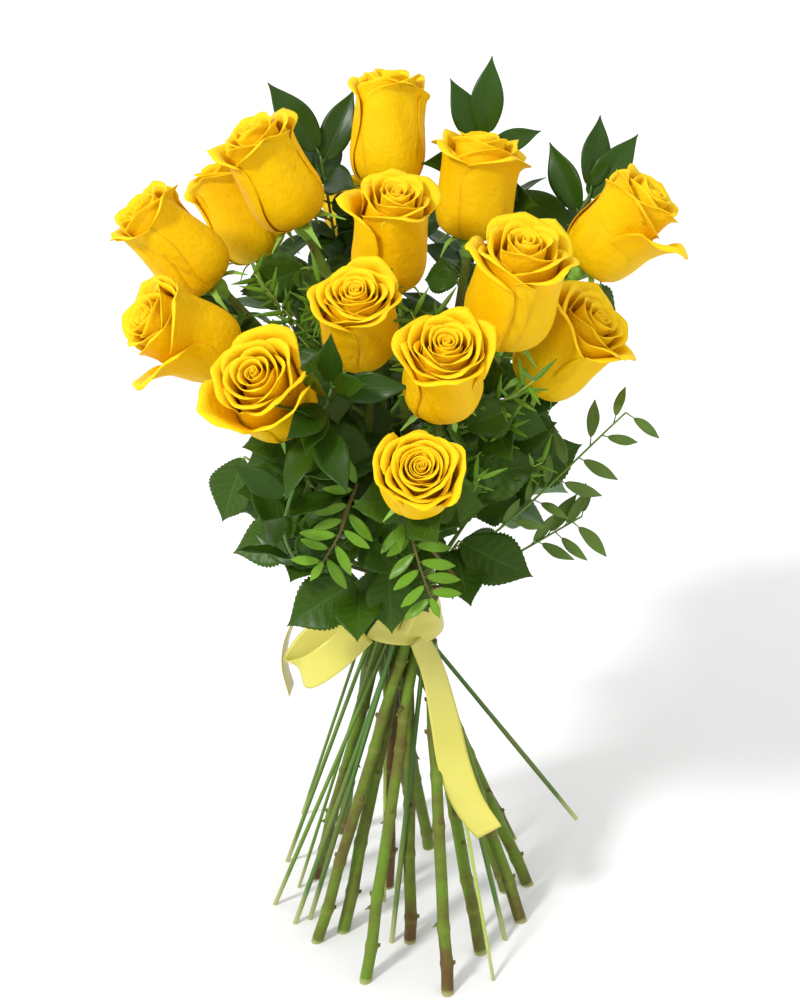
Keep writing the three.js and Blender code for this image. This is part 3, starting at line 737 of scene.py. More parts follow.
def level_foot(piece, line, sides):
    """Slides the lowest ring of a stem along it until the cut is level with the ground."""
    mesh = piece.data
    at = np.empty(len(mesh.vertices) * 3, np.float32)
    mesh.vertices.foreach_get("co", at)
    at = at.reshape(-1, 3)
    rise = unit(line[1] - line[0])
    ring = slice(0, sides + 1)
    at[ring] -= (at[ring, 2:3] / rise[2]) * rise
    mesh.vertices.foreach_set("co", at.ravel())


# ---- Blooms ----
# The outside of a closed bloom: share of its height, share of its radius.
URN = np.array(
    [(0, 0.14), (0.012, 0.46), (0.1, 0.85), (0.3, 1.0), (0.55, 0.97), (0.8, 0.93), (0.95, 0.95), (1.06, 0.97)]
)


def bloom_frame(rose):
    axis = towards(rose["face"][0], 90 - rose["face"][1])
    base = np.array(rose["head"], float) - axis * rose["bloom"][0] / 2
    side = unit(np.cross(UP, axis))
    return base, axis, side, np.cross(axis, side)


def petal(rose, angle, age, rng, splay=0.0, roll=1.0, opened=0.2, columns=16, rows=20):
    """One petal. age is 0 in the heart and 1 outside. It stands on the base as part of an urn, bends out by
    splay towards its tip, and rolls back along two slanting lines, which leave a point at the middle of
    its rim."""
    height, width, flare = rose["bloom"]
    radius = width / 2 * 0.98
    belly, rim = 1 - 0.92 * (1 - age) ** 1.5, 0.02 + 0.98 * age ** (1.6 - 0.5 * opened)
    curl = 1.3 + 3.6 * age**1.5
    most = (0.35 + 1.45 * age**1.5) * min(1.25, roll + 0.1)
    start_roll = 0.99 - (0.075 + 0.05 * opened) * age**2 * roll
    slant = math.radians(72 - 7 * age**3)
    # how much of the petal lies beyond its roll line near a corner
    corner = (1 - start_roll) * height + 6 * age
    rolled_out = 0.9 * curl * (1 - math.cos(min(most, corner / curl)))
    share, round_share = URN[:, 0], URN[:, 1]
    r = radius * round_share * belly
    outer = radius * (0.97 + flare) + 0.6 - rolled_out
    r += (outer * rim - r) * smooth(0.35, 0.95, share)
    z = height * share + 1.6 * (1 - age)
    z *= 0.97 + 0.03 * math.sin(math.pi * age) + rng.uniform(-0.015, 0.015)
    profile = smooth_line(np.column_stack([r, z]), 48)
    along = lengths_along(profile)
    total = along[-1]
    heading = np.arctan2(np.gradient(profile[:, 0]), np.gradient(profile[:, 1]))
    tilt = rng.uniform(-0.03, 0.03) * age
    heading += (splay + tilt) * smooth(0.3, 0.95, along / total)
    step = np.diff(along)
    middle = (heading[1:] + heading[:-1]) / 2
    r = profile[0, 0] + np.concatenate([[0], np.cumsum(step * np.sin(middle))])
    z = profile[0, 1] + np.concatenate([[0], np.cumsum(step * np.cos(middle))])

    span = (1.08 + 1.4 * (1 - age) ** 2) * rng.uniform(0.94, 1.06)
    half = span * radius * belly + 1.2
    waves = rng.uniform(0, 2 * math.pi, 4)
    lean = rng.uniform(-0.35, 0.35)
    pitch = 0.32 + 0.2 * (1 - age)  # the spiral: one side of a petal lies inside its neighbour

    def place(u, v):
        tip = 1 - 0.15 * np.abs(u) ** 2.4 + 0.035 * np.exp(-((u - 0.12 * lean) / 0.2) ** 2) * age
        y = v * tip * total * (1 + 0.012 * np.sin(5 * u + waves[0]) * smooth(0.6, 1, v))
        outline = 0.34 + 0.66 * np.sin(math.pi / 2 * np.minimum(1, v / 0.62)) ** 0.9
        outline *= 1 - 0.1 * smooth(0.72, 1, v)
        x = u * half * outline
        sideways = (np.sqrt(x * x + 9) - 3) * (1 + lean * np.sign(x) * 0.4)
        beyond = sideways * math.cos(slant) + (y - start_roll * total) * math.sin(slant)
        beyond = np.maximum(beyond, 0)
        bend = np.minimum(beyond / curl, most)
        rest = beyond - bend * curl
        kept = curl * np.sin(bend) + rest * np.cos(bend)
        out = curl * (1 - np.cos(bend)) + rest * np.sin(bend)
        back = beyond - kept
        x = x - np.sign(x) * np.minimum(np.abs(x), math.cos(slant) * back * smooth(0, 3, np.abs(x)))
        y = y - math.sin(slant) * back
        out = out + (0.2 + 1.0 * age) * np.sin(2.6 * u + 4 * v + waves[1]) * v * (1 - 0.4 * v)
        out = out + 1.7 * age * np.sin(5.5 * u + waves[2]) * smooth(0.72, 1, v) * (0.3 + np.abs(u))
        out = out + 0.45 * age * np.sin(9 * u + 7 * v + waves[3]) * smooth(0.2, 0.7, v)
        ri, zi, hi = np.interp(y, along, r), np.interp(y, along, z), np.interp(y, along, heading)
        turn = x / np.maximum(ri, 0.5 * radius * belly + 0.4)
        rr = np.maximum(ri + out * np.cos(hi) + pitch * turn * smooth(0, 0.25, v), 0.15)
        zz = zi - out * np.sin(hi)
        a = angle + turn
        base, axis, side, raised = bloom_frame(rose)
        return base + zz[:, None] * axis + rr[:, None] * (
            np.cos(a)[:, None] * side + np.sin(a)[:, None] * raised
        )

    return sheet_of(columns, rows, place, layer=age, tone=rng.uniform(0, 0.5))


def build_blooms(context):
    sizes, colours = context.scene.bouquet_sizes, context.scene.bouquet_colours
    finish = petal_finish(colours)
    for number, (rose, habit) in enumerate(zip(ROSES, HABITS), 1):
        rng = np.random.default_rng(1000 + number)
        guards = habit["guards"]
        inner = habit["petals"] - len(guards)
        parts = []
        for i in range(inner):
            age = 0.88 * i / (inner - 1)
            angle = math.radians(habit["turn"]) + i * GOLDEN_TURN + rng.uniform(-0.12, 0.12)
            parts.append(petal(rose, angle, age, rng, splay=0.06 * age, opened=habit["open"]))
        for i, (round_, splay, roll) in enumerate(guards):
            age = 0.93 + 0.035 * i
            parts.append(petal(rose, math.radians(round_), age, rng, splay, roll, habit["open"], 20, 24))
        piece = dress(join(f"rose_{number:02d}_petals", parts), finish)
        thicken(piece, sizes.petal_wall)
        finish_piece(piece, "rose_petals", f"rose_{number:02d}_bloom")


# ---- Leaves ----
def blade(base, direction, length, shape, facing=None, belly=0.42, droop=0.08, fold=0.18, teeth=0, depth=0.0,
          wave=0.3, twist=0.0, bend=0.0, point=0.7, size=(6, 16), relief=0.0, rng=None, tone=0.0):
    """A leaf blade from base along a direction. Its upper side looks up, or towards the azimuth facing."""
    look = UP if facing is None else towards(facing, 20)
    direction = unit(np.asarray(direction, float))
    normal = look - look.dot(direction) * direction
    if np.linalg.norm(normal) < 0.1:
        normal = np.cross(direction, (0, 1, 0))
    normal = unit(normal)
    across = np.cross(direction, normal)
    if rng is not None:
        twist = twist + rng.uniform(-0.25, 0.25)
        bend = bend + rng.uniform(-0.07, 0.07)
        phase = rng.uniform(0, 2 * math.pi, 2)
    else:
        phase = (0.0, 1.0)
    power = math.log(0.5) / math.log(belly)

    def place(u, v):
        outline = np.clip(np.sin(math.pi * v**power), 0, 1) ** (0.62 + point * v)
        half = length * shape / 2 * outline
        if teeth:
            half = half * (
                1 + depth * np.abs(((v * teeth) % 1) * 2 - 1) * smooth(0, 0.1, v) * smooth(1, 0.93, v)
            )
        half = half + 0.22
        x = u * half
        lift = fold * (np.sqrt(x * x + 0.6) - 0.77) - droop * length * v**2
        ripple = np.sin(math.pi * 3 * v + np.where(u > 0, phase[0], phase[1]))
        lift = lift + wave * np.abs(u) ** 1.5 * ripple * outline
        if relief:
            side_veins = np.cos(2 * math.pi * (v * 8 - np.abs(u) * 1.1))
            lift = lift + relief * side_veins * np.abs(u) * (1 - np.abs(u)) * 4 * outline
        x = x + bend * length * v**2
        turn = twist * v
        sx, sn = x * np.cos(turn) - lift * np.sin(turn), x * np.sin(turn) + lift * np.cos(turn)
        return base + (v * length)[:, None] * direction + sx[:, None] * across + sn[:, None] * normal

    return sheet_of(*size, place, tone=tone)


def leaf_piece(name, blades, stalks, finishes, stalk_finish, wall, slot, *nodes):
    """Joins a piece's blades, with walls and undersides, to its stalks, closed."""
    green = thicken(dress(join(name, blades), *finishes), wall, side=-1, underside=len(finishes) > 1)
    parts = [green]
    if stalks:
        parts.append(close(dress(join(name + "_stalks", stalks), stalk_finish)))
    return finish_piece(join(name, parts), slot, *nodes)


def spray_line(plan, detail=6):
    end, via = np.array(plan["end"], float), np.array(plan["via"], float)
    return stem_line(plan["stem"], plan.get("lift", 0), end, unit(end - via), via, detail=detail)


def spray_stem(plan, radius, sides=8, nodes=0, rng=None):
    line, below = spray_line(plan)
    count = len(line)
    radii = radius * (1.15 - 0.6 * np.arange(count) / count)
    swell = np.zeros(count)
    if nodes:
        gaps = lengths_along(line)
        for at in np.arange(25, gaps[-1], nodes):
            swell += np.exp(-(((gaps - at) / 2.2) ** 2))
    stem = tube(
        line, radii * (1 + 0.14 * swell), sides, wood=0.0,
        ring=lambda u, v: 0.5 * swell[np.rint(v * (count - 1)).astype(int)],
        cut=lambda u, v: (v == 0) * 1.0,
    )
    if "lift" not in plan:
        level_foot(stem, line, sides)
    return line[below:], stem


def on_line(line, share):
    """The point at a share of a line, and the way the line runs there."""
    spot = share * (len(line) - 1)
    i = min(int(spot), len(line) - 2)
    return line[i] + (line[i + 1] - line[i]) * (spot - i), unit(line[i + 1] - line[max(i - 1, 0)])


def build_ruscus(context):
    sizes, colours = context.scene.bouquet_sizes, context.scene.bouquet_colours
    top = leaf_finish("ruscus leaf", colours.ruscus, linear("#35561f"), 0.33, 5, 7, 0.12, vein_strength=0.25)
    under = leaf_finish(
        "ruscus leaf underside", linear("#3c5c26"), linear("#587a36"), 0.5, 5, 7, 0.0, vein_strength=0.4
    )
    stalk = stem_finish("ruscus stem", colours, linear("#44632c"), 0.1, 0.4)
    for number, plan in enumerate(RUSCUS_SPRAYS):
        rng = np.random.default_rng(2000 + number)
        upper, stem = spray_stem(plan, RUSCUS["radius"], nodes=30)
        blades, stalks = [], [stem]
        leaves = list(plan["leaves"])
        turn = rng.uniform(0, 360)
        for i in range(14):
            share = 0.4 + 0.54 * i / 13
            turn += 137.5
            facing = None if i % 2 else 270 + rng.uniform(-35, 35)
            leaves.append((share, turn % 360, rng.uniform(5, 50), rng.uniform(34, 46), facing))
        for leaf in leaves:
            share, azimuth, lift, length = leaf[:4]
            facing = leaf[4] if len(leaf) > 4 else None
            spot, run = on_line(upper, share)
            way = towards(azimuth, lift)
            foot = spot + way * 3
            stalks.append(tube([spot, spot + way * 2 + run * 0.4, spot + way * 4.5], [0.9, 0.7, 0.5], 6))
            blades.append(
                blade(
                    foot, way, length - 3, RUSCUS["shape"], facing, droop=0.1, fold=0.22, wave=0.9,
                    size=(8, 20), rng=rng, tone=rng.uniform(-0.1, 0.25),
                )
            )
        leaf_piece(
            plan["name"] + "_leaves", blades, stalks, (top, under), stalk, sizes.leaf_wall, "glossy_leaves",
            plan["name"],
        )


def cut_line(line, share):
    return line[: max(3, int(share * (len(line) - 1)) + 1)]


def pinnate(plan, radius, share, twig, pairs, length, shape, rng, reach):
    """A sprig that arches over: leaflets stand in pairs along its hanging end and face forwards."""
    line, below = spray_line(plan)
    upper = cut_line(line[below:], share)
    bend = smooth_line([upper[-2], upper[-1], *twig], 30)[8:]
    whole = np.vstack([line[:below], upper, bend])
    count = len(whole)
    brown = smooth(below, below + 6, np.arange(count)) * 0.85
    stem = tube(
        whole, radius * (1.2 - 0.75 * np.arange(count) / count), 7,
        wood=lambda u, v: brown[np.rint(v * (count - 1)).astype(int)], ring=0.0,
        cut=lambda u, v: (v == 0) * 1.0,
    )
    level_foot(stem, line, 7)
    blades, stalks = [], [stem]
    look = towards(270, 30)
    for i in range(pairs):
        at = 0.3 + 0.68 * i / (pairs - 1)
        for hand in (-1, 1):
            spot, run = on_line(bend, min(1, at + 0.03 * hand))
            side = unit(np.cross(run, look)) * hand
            way = unit(side + run * reach * rng.uniform(0.6, 1.3) + look * rng.uniform(-0.1, 0.35))
            long = length * rng.uniform(0.88, 1.1)
            stalks.append(tube([spot, spot + way * 1.2, spot + way * 2.5], [0.45, 0.4, 0.3], 5, wood=0.6))
            blades.append(
                blade(
                    spot + way * 1.6, way, long, shape, 270 + rng.uniform(-20, 20), belly=0.5, droop=0.06,
                    fold=0.15, wave=0.3, point=0.3, size=(6, 14), rng=rng, tone=rng.uniform(-0.15, 0.4),
                )
            )
    spot, run = on_line(bend, 1)
    blades.append(blade(spot, run, length * 0.8, shape, 270, belly=0.5, size=(6, 14), rng=rng, tone=0.3))
    return blades, stalks


def trailing(plan, radius, first, count, length, shape, rng):
    """A thin trailing sprig with a few hanging leaves, set singly."""
    upper, stem = spray_stem(plan, radius, sides=7)
    blades, stalks = [], [stem]
    look = towards(270, 25)
    for i in range(count):
        spot, run = on_line(upper, first + (1 - first) * i / (count - 1))
        side = unit(np.cross(run, look)) * (1 if i % 2 else -1)
        way = side * rng.uniform(0.4, 0.9) + run * rng.uniform(0.4, 1.0) + np.array((0, 0, -0.35))
        way = unit(way + look * rng.uniform(-0.2, 0.3))
        root = spot + way * rng.uniform(2, 6)
        stalks.append(tube([spot, (spot + root) / 2, root + way], [0.5, 0.42, 0.35], 5, wood=0.3))
        blades.append(
            blade(
                root, way, length * rng.uniform(0.8, 1.12), shape, 270 + rng.uniform(-35, 35), belly=0.48,
                droop=0.12, fold=0.22, wave=0.5, point=0.5, size=(6, 14), rng=rng,
                tone=rng.uniform(-0.1, 0.35),
            )
        )
    return blades, stalks


def build_fine_greens(context):
    sizes, colours = context.scene.bouquet_sizes, context.scene.bouquet_colours
    mastic = leaf_finish(
        "mastic leaflet", colours.mastic, linear("#7fb04a"), 0.38, 9, 6, 0.15, vein_strength=0.25
    )
    trailing_green = leaf_finish(
        "trailing leaflet", linear("#4d6426"), linear("#7d9448"), 0.45, 9, 6, 0.1, vein_strength=0.25
    )
    rachis = stem_finish("mastic stem", colours, linear("#56702c"), 0.1, 0.5)
    for number, plan in enumerate(MASTIC_SPRAYS):
        rng = np.random.default_rng(3000 + number)
        if "twig" in plan:
            blades, stalks = pinnate(plan, 1.2, 0.62, plan["twig"], 6, 18, 0.3, rng, 0.5)
            finish = mastic
        else:
            blades, stalks = trailing(plan, 1.0, *plan["trail"], 0.3, rng)
            finish = trailing_green
        leaf_piece(
            plan["name"] + "_leaves", blades, stalks, (finish,), rachis, sizes.leaf_wall, "fine_greenery",
            plan["name"],
        )

    feather = leaf_finish(
        "feathery leaf", colours.feather, linear("#7da04a"), 0.45, 3, 4, 0.1, vein_strength=0.2
    )
    green_stem = stem_finish("feathery stem", colours, linear("#8f9f48"), 0.05, 0.5)
    for number, plan in enumerate(FEATHER_SPRAYS):
        rng = np.random.default_rng(4000 + number)
        upper, stem = spray_stem(plan, 1.0, sides=7)
        blades, stalks = [], [stem]
        lines = [upper]
        for i in range(15):  # side twigs
            spot, run = on_line(upper, 0.35 + 0.62 * i / 14)
            out = towards(rng.uniform(0, 360), rng.uniform(-10, 40))
            twig = smooth_line(
                [spot, spot + out * 16 + run * 8, spot + out * 30 + run * 22, spot + out * 42 + run * 38], 9
            )
            stalks.append(tube(twig, np.linspace(0.6, 0.35, 10), 5))
            lines.append(twig)
        for i, line in enumerate(lines):
            count, first = (16, 0.2) if i else (22, 0.5)  # leaves, and the share of the line where they start
            for k in range(count):
                share = first + (1 - first) * k / (count - 1)
                spot, run = on_line(line, min(share, 1))
                a = k * GOLDEN_TURN + i
                u = unit(np.cross(run, UP + 0.01))
                w = np.cross(run, u)
                way = unit(run * 0.7 + (math.cos(a) * u + math.sin(a) * w) * 0.8)
                blades.append(
                    blade(
                        spot, way, rng.uniform(11, 19), 0.13, 270, belly=0.4, droop=0.12, fold=0.1, wave=0.0,
                        size=(2, 6), rng=rng, tone=rng.uniform(-0.1, 0.5),
                    )
                )
        leaf_piece(
            plan["name"] + "_leaves", blades, stalks, (feather,), green_stem, 0.3 * MM, "fine_greenery",
            plan["name"],
        )


def rose_leaf(start, knee, face, pairs, rng, size=(10, 40)):
    """A rose leaf: its petiole, the leaflet at its end and the pairs beside it."""
    azimuth, lift, length, facing = face
    start, knee = np.array(start, float), np.array(knee, float)
    middle = (start + knee) / 2 + (0, 0, 6)
    t = np.linspace(0, 1, 13)[:, None]
    line = (1 - t) ** 2 * start + 2 * t * (1 - t) * middle + t**2 * knee
    stalks = [tube(line, np.linspace(1.15, 0.7, 13), 7)]
    blades = []
    leaflets = [(knee, azimuth, length)]
    for share, part in pairs:
        spot = (1 - share) ** 2 * start + 2 * share * (1 - share) * middle + share**2 * knee
        leaflets += [
            (spot, azimuth + LEAFLET_ANGLE, length * part), (spot, azimuth - LEAFLET_ANGLE, length * part)
        ]
    for spot, way, long in leaflets:
        direction = towards(way + rng.uniform(-6, 6), lift + rng.uniform(-8, 8))
        foot = spot + direction * (2.5 if spot is not knee else 1)
        stalks.append(tube([spot, (spot + foot) / 2, foot + direction * 1.5], [0.6, 0.55, 0.5], 6))
        blades.append(
            blade(
                foot, direction, long - 2, 0.66, facing, belly=0.5, droop=0.14, fold=0.2, teeth=size[1] // 2,
                depth=0.075, wave=1.2, point=0.85, size=size, relief=0.28, rng=rng,
                tone=rng.uniform(-0.1, 0.25),
            )
        )
    return blades, stalks


def rose_leaf_finishes(colours):
    top = leaf_finish(
        "rose leaf", colours.rose_leaf, linear("#4a6c2c"), 0.42, 8, 4.4, 0.05, vein_strength=0.42
    )
    under = leaf_finish(
        "rose leaf underside", linear("#5a7550"), linear("#7f9668"), 0.6, 8, 4.4, 0.0, vein_strength=0.6
    )
    return (top, under), stem_finish("rose leaf stalk", colours, linear("#6c7f33"), 0.4, 0.5)


def build_rose_leaves(context):
    sizes, colours = context.scene.bouquet_sizes, context.scene.bouquet_colours
    finishes, stalk = rose_leaf_finishes(colours)
    for number, plan in enumerate(ROSE_LEAVES):
        rng = np.random.default_rng(5000 + number)
        blades, stalks = rose_leaf(plan["start"], plan["knee"], plan["face"], LEAFLET_PAIRS, rng)
        leaf_piece(
            plan["name"] + "_foliage", blades, stalks, finishes, stalk, sizes.leaf_wall, "rose_leaves",
            plan["name"],
        )
    # The leaves left on the rose stems under the blooms.
    for number, rose in enumerate(ROSES, 1):
        rng = np.random.default_rng(6000 + number)
        upper = rose_stem_line(rose)[0][STEM_ROWS:]
        blades, stalks = [], []
        for share in (0.36, 0.5, 0.64, 0.77, 0.88):
            spot, run = on_line(upper, share)
            outward = math.degrees(math.atan2(spot[1], spot[0]))
            azimuth = outward + rng.uniform(-75, 75)
            facing = 270 + rng.uniform(-30, 30) if spot[1] < 30 else outward
            knee = spot + towards(azimuth, 35) * 22
            made = rose_leaf(
                spot, knee, (azimuth, rng.uniform(-25, 25), rng.uniform(34, 44), facing), LEAFLET_PAIRS, rng,
                (6, 28)
            )
            blades += made[0]
            stalks += made[1]
        leaf_piece(
            f"rose_{number:02d}_stem_leaves", blades, stalks, finishes, stalk, sizes.leaf_wall, "rose_leaves",
        )


# ---- Rose stems ----
STEM_ROWS = 90  # rings on the straight part of a rose stem
STEM_SIDES = 14
WOODY_STEM = 7  # the number of the rose whose stem has turned brown


def rose_stem_line(rose):
    base, axis, _, _ = bloom_frame(rose)
    neck = base - axis * (0.35 + STEM["hip_length"])
    line, below = stem_line(rose["stem"], 0, neck, axis, below_rows=STEM_ROWS, detail=8)
    return line, below, axis, base


def build_stems(context):
    sizes, colours = context.scene.bouquet_sizes, context.scene.bouquet_colours
    skin = stem_finish("rose stem", colours, list(colours.stem), 0.9, 0.42)
    fresh = stem_finish("hip and sepals", colours, linear("#6f9a3c"), 0.05, 0.5)
    for number, rose in enumerate(ROSES, 1):
        rng = np.random.default_rng(7000 + number)
        line, below, axis, base = rose_stem_line(rose)
        gaps = lengths_along(line)
        count = len(line)
        radii = np.interp(gaps, [0, gaps[below], gaps[-1]], [STEM["foot"], STEM["tie"], STEM["neck"]])
        radii *= rng.uniform(0.9, 1.02)
        swell, scar = np.zeros(count), np.zeros(count)
        spots = np.arange(rng.uniform(12, 30), gaps[-1] - 30, sizes.node_spacing / MM)
        spots = spots + rng.uniform(-13, 13, len(spots))
        _, across, beside = frames_along(line)
        moved = line.copy()
        for k, at in enumerate(spots):
            swell += np.exp(-(((gaps - at) / 2.6) ** 2))
            scar += np.exp(-(((gaps - at + 1.2) / 0.9) ** 2))
            side = math.cos(k * GOLDEN_TURN) * across[0] + math.sin(k * GOLDEN_TURN) * beside[0]
            moved += (np.exp(-(((gaps - at) / 16) ** 2)) * 0.55 * smooth(0, 12, gaps))[:, None] * side
        radii = radii * (1 + 0.16 * swell)
        old = 0.75 if number == WOODY_STEM else 0.0
        wood = np.clip(
            0.55 * np.exp(-((gaps - 8) / 30) ** 2) * rng.uniform(0, 1) + old * (gaps < gaps[below]), 0, 1
        )

        def row(v):
            return np.rint(v * (count - 1)).astype(int)

        stem = tube(
            moved, radii, STEM_SIDES,
            shape=lambda turn, i: 1 + 0.035 * np.cos(3 * turn + 0.02 * gaps[i]),
            wood=lambda u, v: wood[row(v)], ring=lambda u, v: np.clip(scar[row(v)], 0, 1) * 0.6,
            cut=lambda u, v: (v == 0) * 0.9,
        )
        level_foot(stem, line, STEM_SIDES)
        parts = [stem]
        for k, at in enumerate(spots):  # a bud above each scar, and a thorn now and then between
            i = int(np.searchsorted(gaps, at))
            angle = k * GOLDEN_TURN + rng.uniform(-0.3, 0.3)
            out = math.cos(angle) * across[i] + math.sin(angle) * beside[i]
            run = unit(line[min(i + 1, count - 1)] - line[i - 1])
            root = moved[i] + out * (radii[i] - 0.6)
            parts.append(
                tube(
                    [root, root + out * 1.0 + run * 0.5, root + out * 1.5 + run * 2.0], [1.5, 1.2, 0.35], 7,
                    wood=0.5, ring=0.2, cut=0.0,
                )
            )
            if rng.random() < 0.4:
                j = min(i + 9, count - 2)
                root = moved[j] - out * (radii[j] - 0.5)
                parts.append(
                    tube(
                        [root, root - out * 1.6 - run * 0.6, root - out * 3.4 - run * 1.9], [1.7, 0.8, 0.12],
                        7, wood=0.4, ring=0.3, cut=0.0,
                    )
                )
        stem = close(dress(join(f"rose_{number:02d}_stem_skin", parts), skin))
        finish_piece(stem, "rose_stems", f"rose_{number:02d}_stem")

        # The hip and its sepals.
        neck = line[-1]
        length = STEM["hip_length"]
        shares = np.array([0, 0.15, 0.3, 0.45, 0.6, 0.75, 0.88, 1.0, 1.06])
        girth = np.array([0.52, 0.56, 0.68, 0.86, 0.97, 1.0, 0.93, 0.78, 0.5]) * STEM["hip"]
        hip = tube([neck + axis * length * s for s in shares], girth, 14, wood=0.0, ring=0.0, cut=0.0)
        hip = close(hip)
        _, _, side, raised = bloom_frame(rose)
        sepals = []
        for k in range(5):
            a = math.radians(72 * k) + rng.uniform(-0.2, 0.2)
            out = math.cos(a) * side + math.sin(a) * raised
            back = rng.uniform(0.2, 1.0)  # how far it has turned back
            foot = base - axis * 1.2 + out * 3.6
            sepals.append(sepal(foot, out, axis, rng.uniform(19, 27), back, rng))
        sepals = thicken(join("sepals", sepals), 0.5 * MM)
        piece = dress(join(f"rose_{number:02d}_hip", [hip, sepals]), fresh)
        finish_piece(piece, "rose_stems")


def sepal(foot, out, axis, length, back, rng):
    """A narrow pointed sepal with small side lobes, which leaves the hip flat and turns down."""
    across = np.cross(axis, out)
    phase = rng.uniform(0, 6)

    def lift_at(v):
        """The sepal's heading, from the axis's right angle, up positive."""
        return 0.35 - (0.5 + 1.5 * back) * smooth(0, 0.8, v)

    def place(u, v):
        heading = lift_at(v)
        steps = np.linspace(0, 1, 41)
        angles = lift_at(steps)
        run = np.concatenate([[0], np.cumsum(np.cos(angles[1:])) / 40]) * length
        rise = np.concatenate([[0], np.cumsum(np.sin(angles[1:])) / 40]) * length
        half = 2.6 * np.clip(1 - v, 0, 1) ** 0.8 * (0.75 + 0.25 * np.sin(math.pi * v)) + 0.25
        half = half * (
            1 + 0.3 * np.clip(np.sin(v * 21 + phase), 0, 1) * smooth(0.1, 0.3, v) * smooth(0.9, 0.6, v)
        )
        x = u * half
        cup = 0.25 * np.abs(x)
        r, z = np.interp(v, steps, run), np.interp(v, steps, rise)
        r, z = r - cup * np.sin(heading), z + cup * np.cos(heading)
        return foot + r[:, None] * out + z[:, None] * axis + x[:, None] * across

    return sheet_of(4, 16, place, wood=0.0, ring=0.12, cut=0.0)


# ---- Twine and ribbon ----
def build_twine(context):
    finish = twine_finish(context.scene.bouquet_colours)
    parts = []
    radius = TWINE["radius"]
    for turn in range(TWINE["turns"]):
        level = (turn - 1) * TWINE["pitch"]
        bpy.ops.object.select_all(action="DESELECT")
        bpy.ops.mesh.primitive_torus_add(
            major_radius=radius * MM, minor_radius=TWINE["cord"] * MM, major_segments=120, minor_segments=12,
            location=TIE + (0, 0, level * MM),
        )
        parts.append(bpy.context.object)
        bpy.ops.object.transform_apply(location=True, rotation=True, scale=True)
        for vertex in parts[-1].data.vertices:  # two plies, twisted together
            x, y, z = (np.array(vertex.co) - TIE) / MM
            z -= level
            around, out = math.atan2(y, x), math.hypot(x, y)
            twist = 2 * math.atan2(z, out - radius) - TWINE["ply_twists"] * around
            ply = 1 + TWINE["ply_depth"] * math.cos(twist)
            out, z = radius + (out - radius) * ply, z * ply + level
            vertex.co = TIE + np.array((out * math.cos(around), out * math.sin(around), z)) * MM
    piece = join("binding_twine_cord", parts)
    bpy.ops.object.shade_smooth()
    finish_piece(dress(piece, finish), "twine", "binding_twine")


def ribbon_sheet(points, start, end, rows=48, curl=0.4):
    line = smooth_line(points, rows)
    along = np.gradient(line, axis=0)
    along /= np.linalg.norm(along, axis=1)[:, None]
    share = np.linspace(0, 1, rows + 1)[:, None]
    across = np.array(start) * (1 - share) + np.array(end) * share
    across -= np.sum(across * along, axis=1)[:, None] * along
    across /= np.linalg.norm(across, axis=1)[:, None]
    normal = np.cross(across, along)

    def place(u, v):
        i = np.rint(v * rows).astype(int)
        bow = curl * (1 - u * u) * np.sin(2 + 4 * v)
        return line[i] + (u * RIBBON_WIDTH / 2)[:, None] * across[i] + bow[:, None] * normal[i]

    return sheet_of(10, rows, place), lengths_along(line)[-1]


def build_ribbon(context):
    sizes, colours = context.scene.bouquet_sizes, context.scene.bouquet_colours
    finish = satin_finish(colours)
    wall = sizes.ribbon_wall

    def as_cloth(piece, node):
        thicken(dress(piece, finish), wall)
        finish_piece(piece, "satin_ribbon", node)

    for plan in RIBBON_LENGTHS:
        made, length = ribbon_sheet(plan["points"], plan["start"], plan["end"])
        piece = join(plan["name"] + "_satin", [made])
        as_cloth(piece, plan["name"])

    # The turn round the stems, gathered in soft creases.
    def wrap(u, v):
        a = 2 * math.pi * v
        crease = 0.5 * np.sin(3 * u + 2 * np.sin(a)) + 0.35 * np.sin(7 * u + 3 * a)
        r = RIBBON_WRAP["radius"] - RIBBON_WRAP["cone"] * u + crease * 0.5
        z = u * RIBBON_WIDTH / 2 + 0.6 * np.sin(2 * a)
        return np.column_stack([r * np.cos(a), r * np.sin(a), z])

    piece = close(join("ribbon_wrap_satin", [sheet_of(16, 96, wrap)]), fill=False)
    as_cloth(piece, "ribbon_wrap")

    # The rolled end that stands up at the knot.
    centre, radius = np.array(RIBBON_KNOT["centre"], float), RIBBON_KNOT["radius"]
    run = towards(40, 60)
    first = unit(np.cross(run, UP))
    second = np.cross(run, first)
    turns = RIBBON_KNOT["turns"]

    def scroll(u, v):
        a = 2 * math.pi * turns * v + 0.6
        r = radius * (0.55 + 0.4 * v)
        return (
            centre + (u * RIBBON_WIDTH / 2 * RIBBON_KNOT["width_share"])[:, None] * run
            + (r * np.cos(a))[:, None] * first + (r * np.sin(a))[:, None] * second
        )

    piece = join("ribbon_knot_satin", [sheet_of(8, 48, scroll)])
    as_cloth(piece, "ribbon_knot")


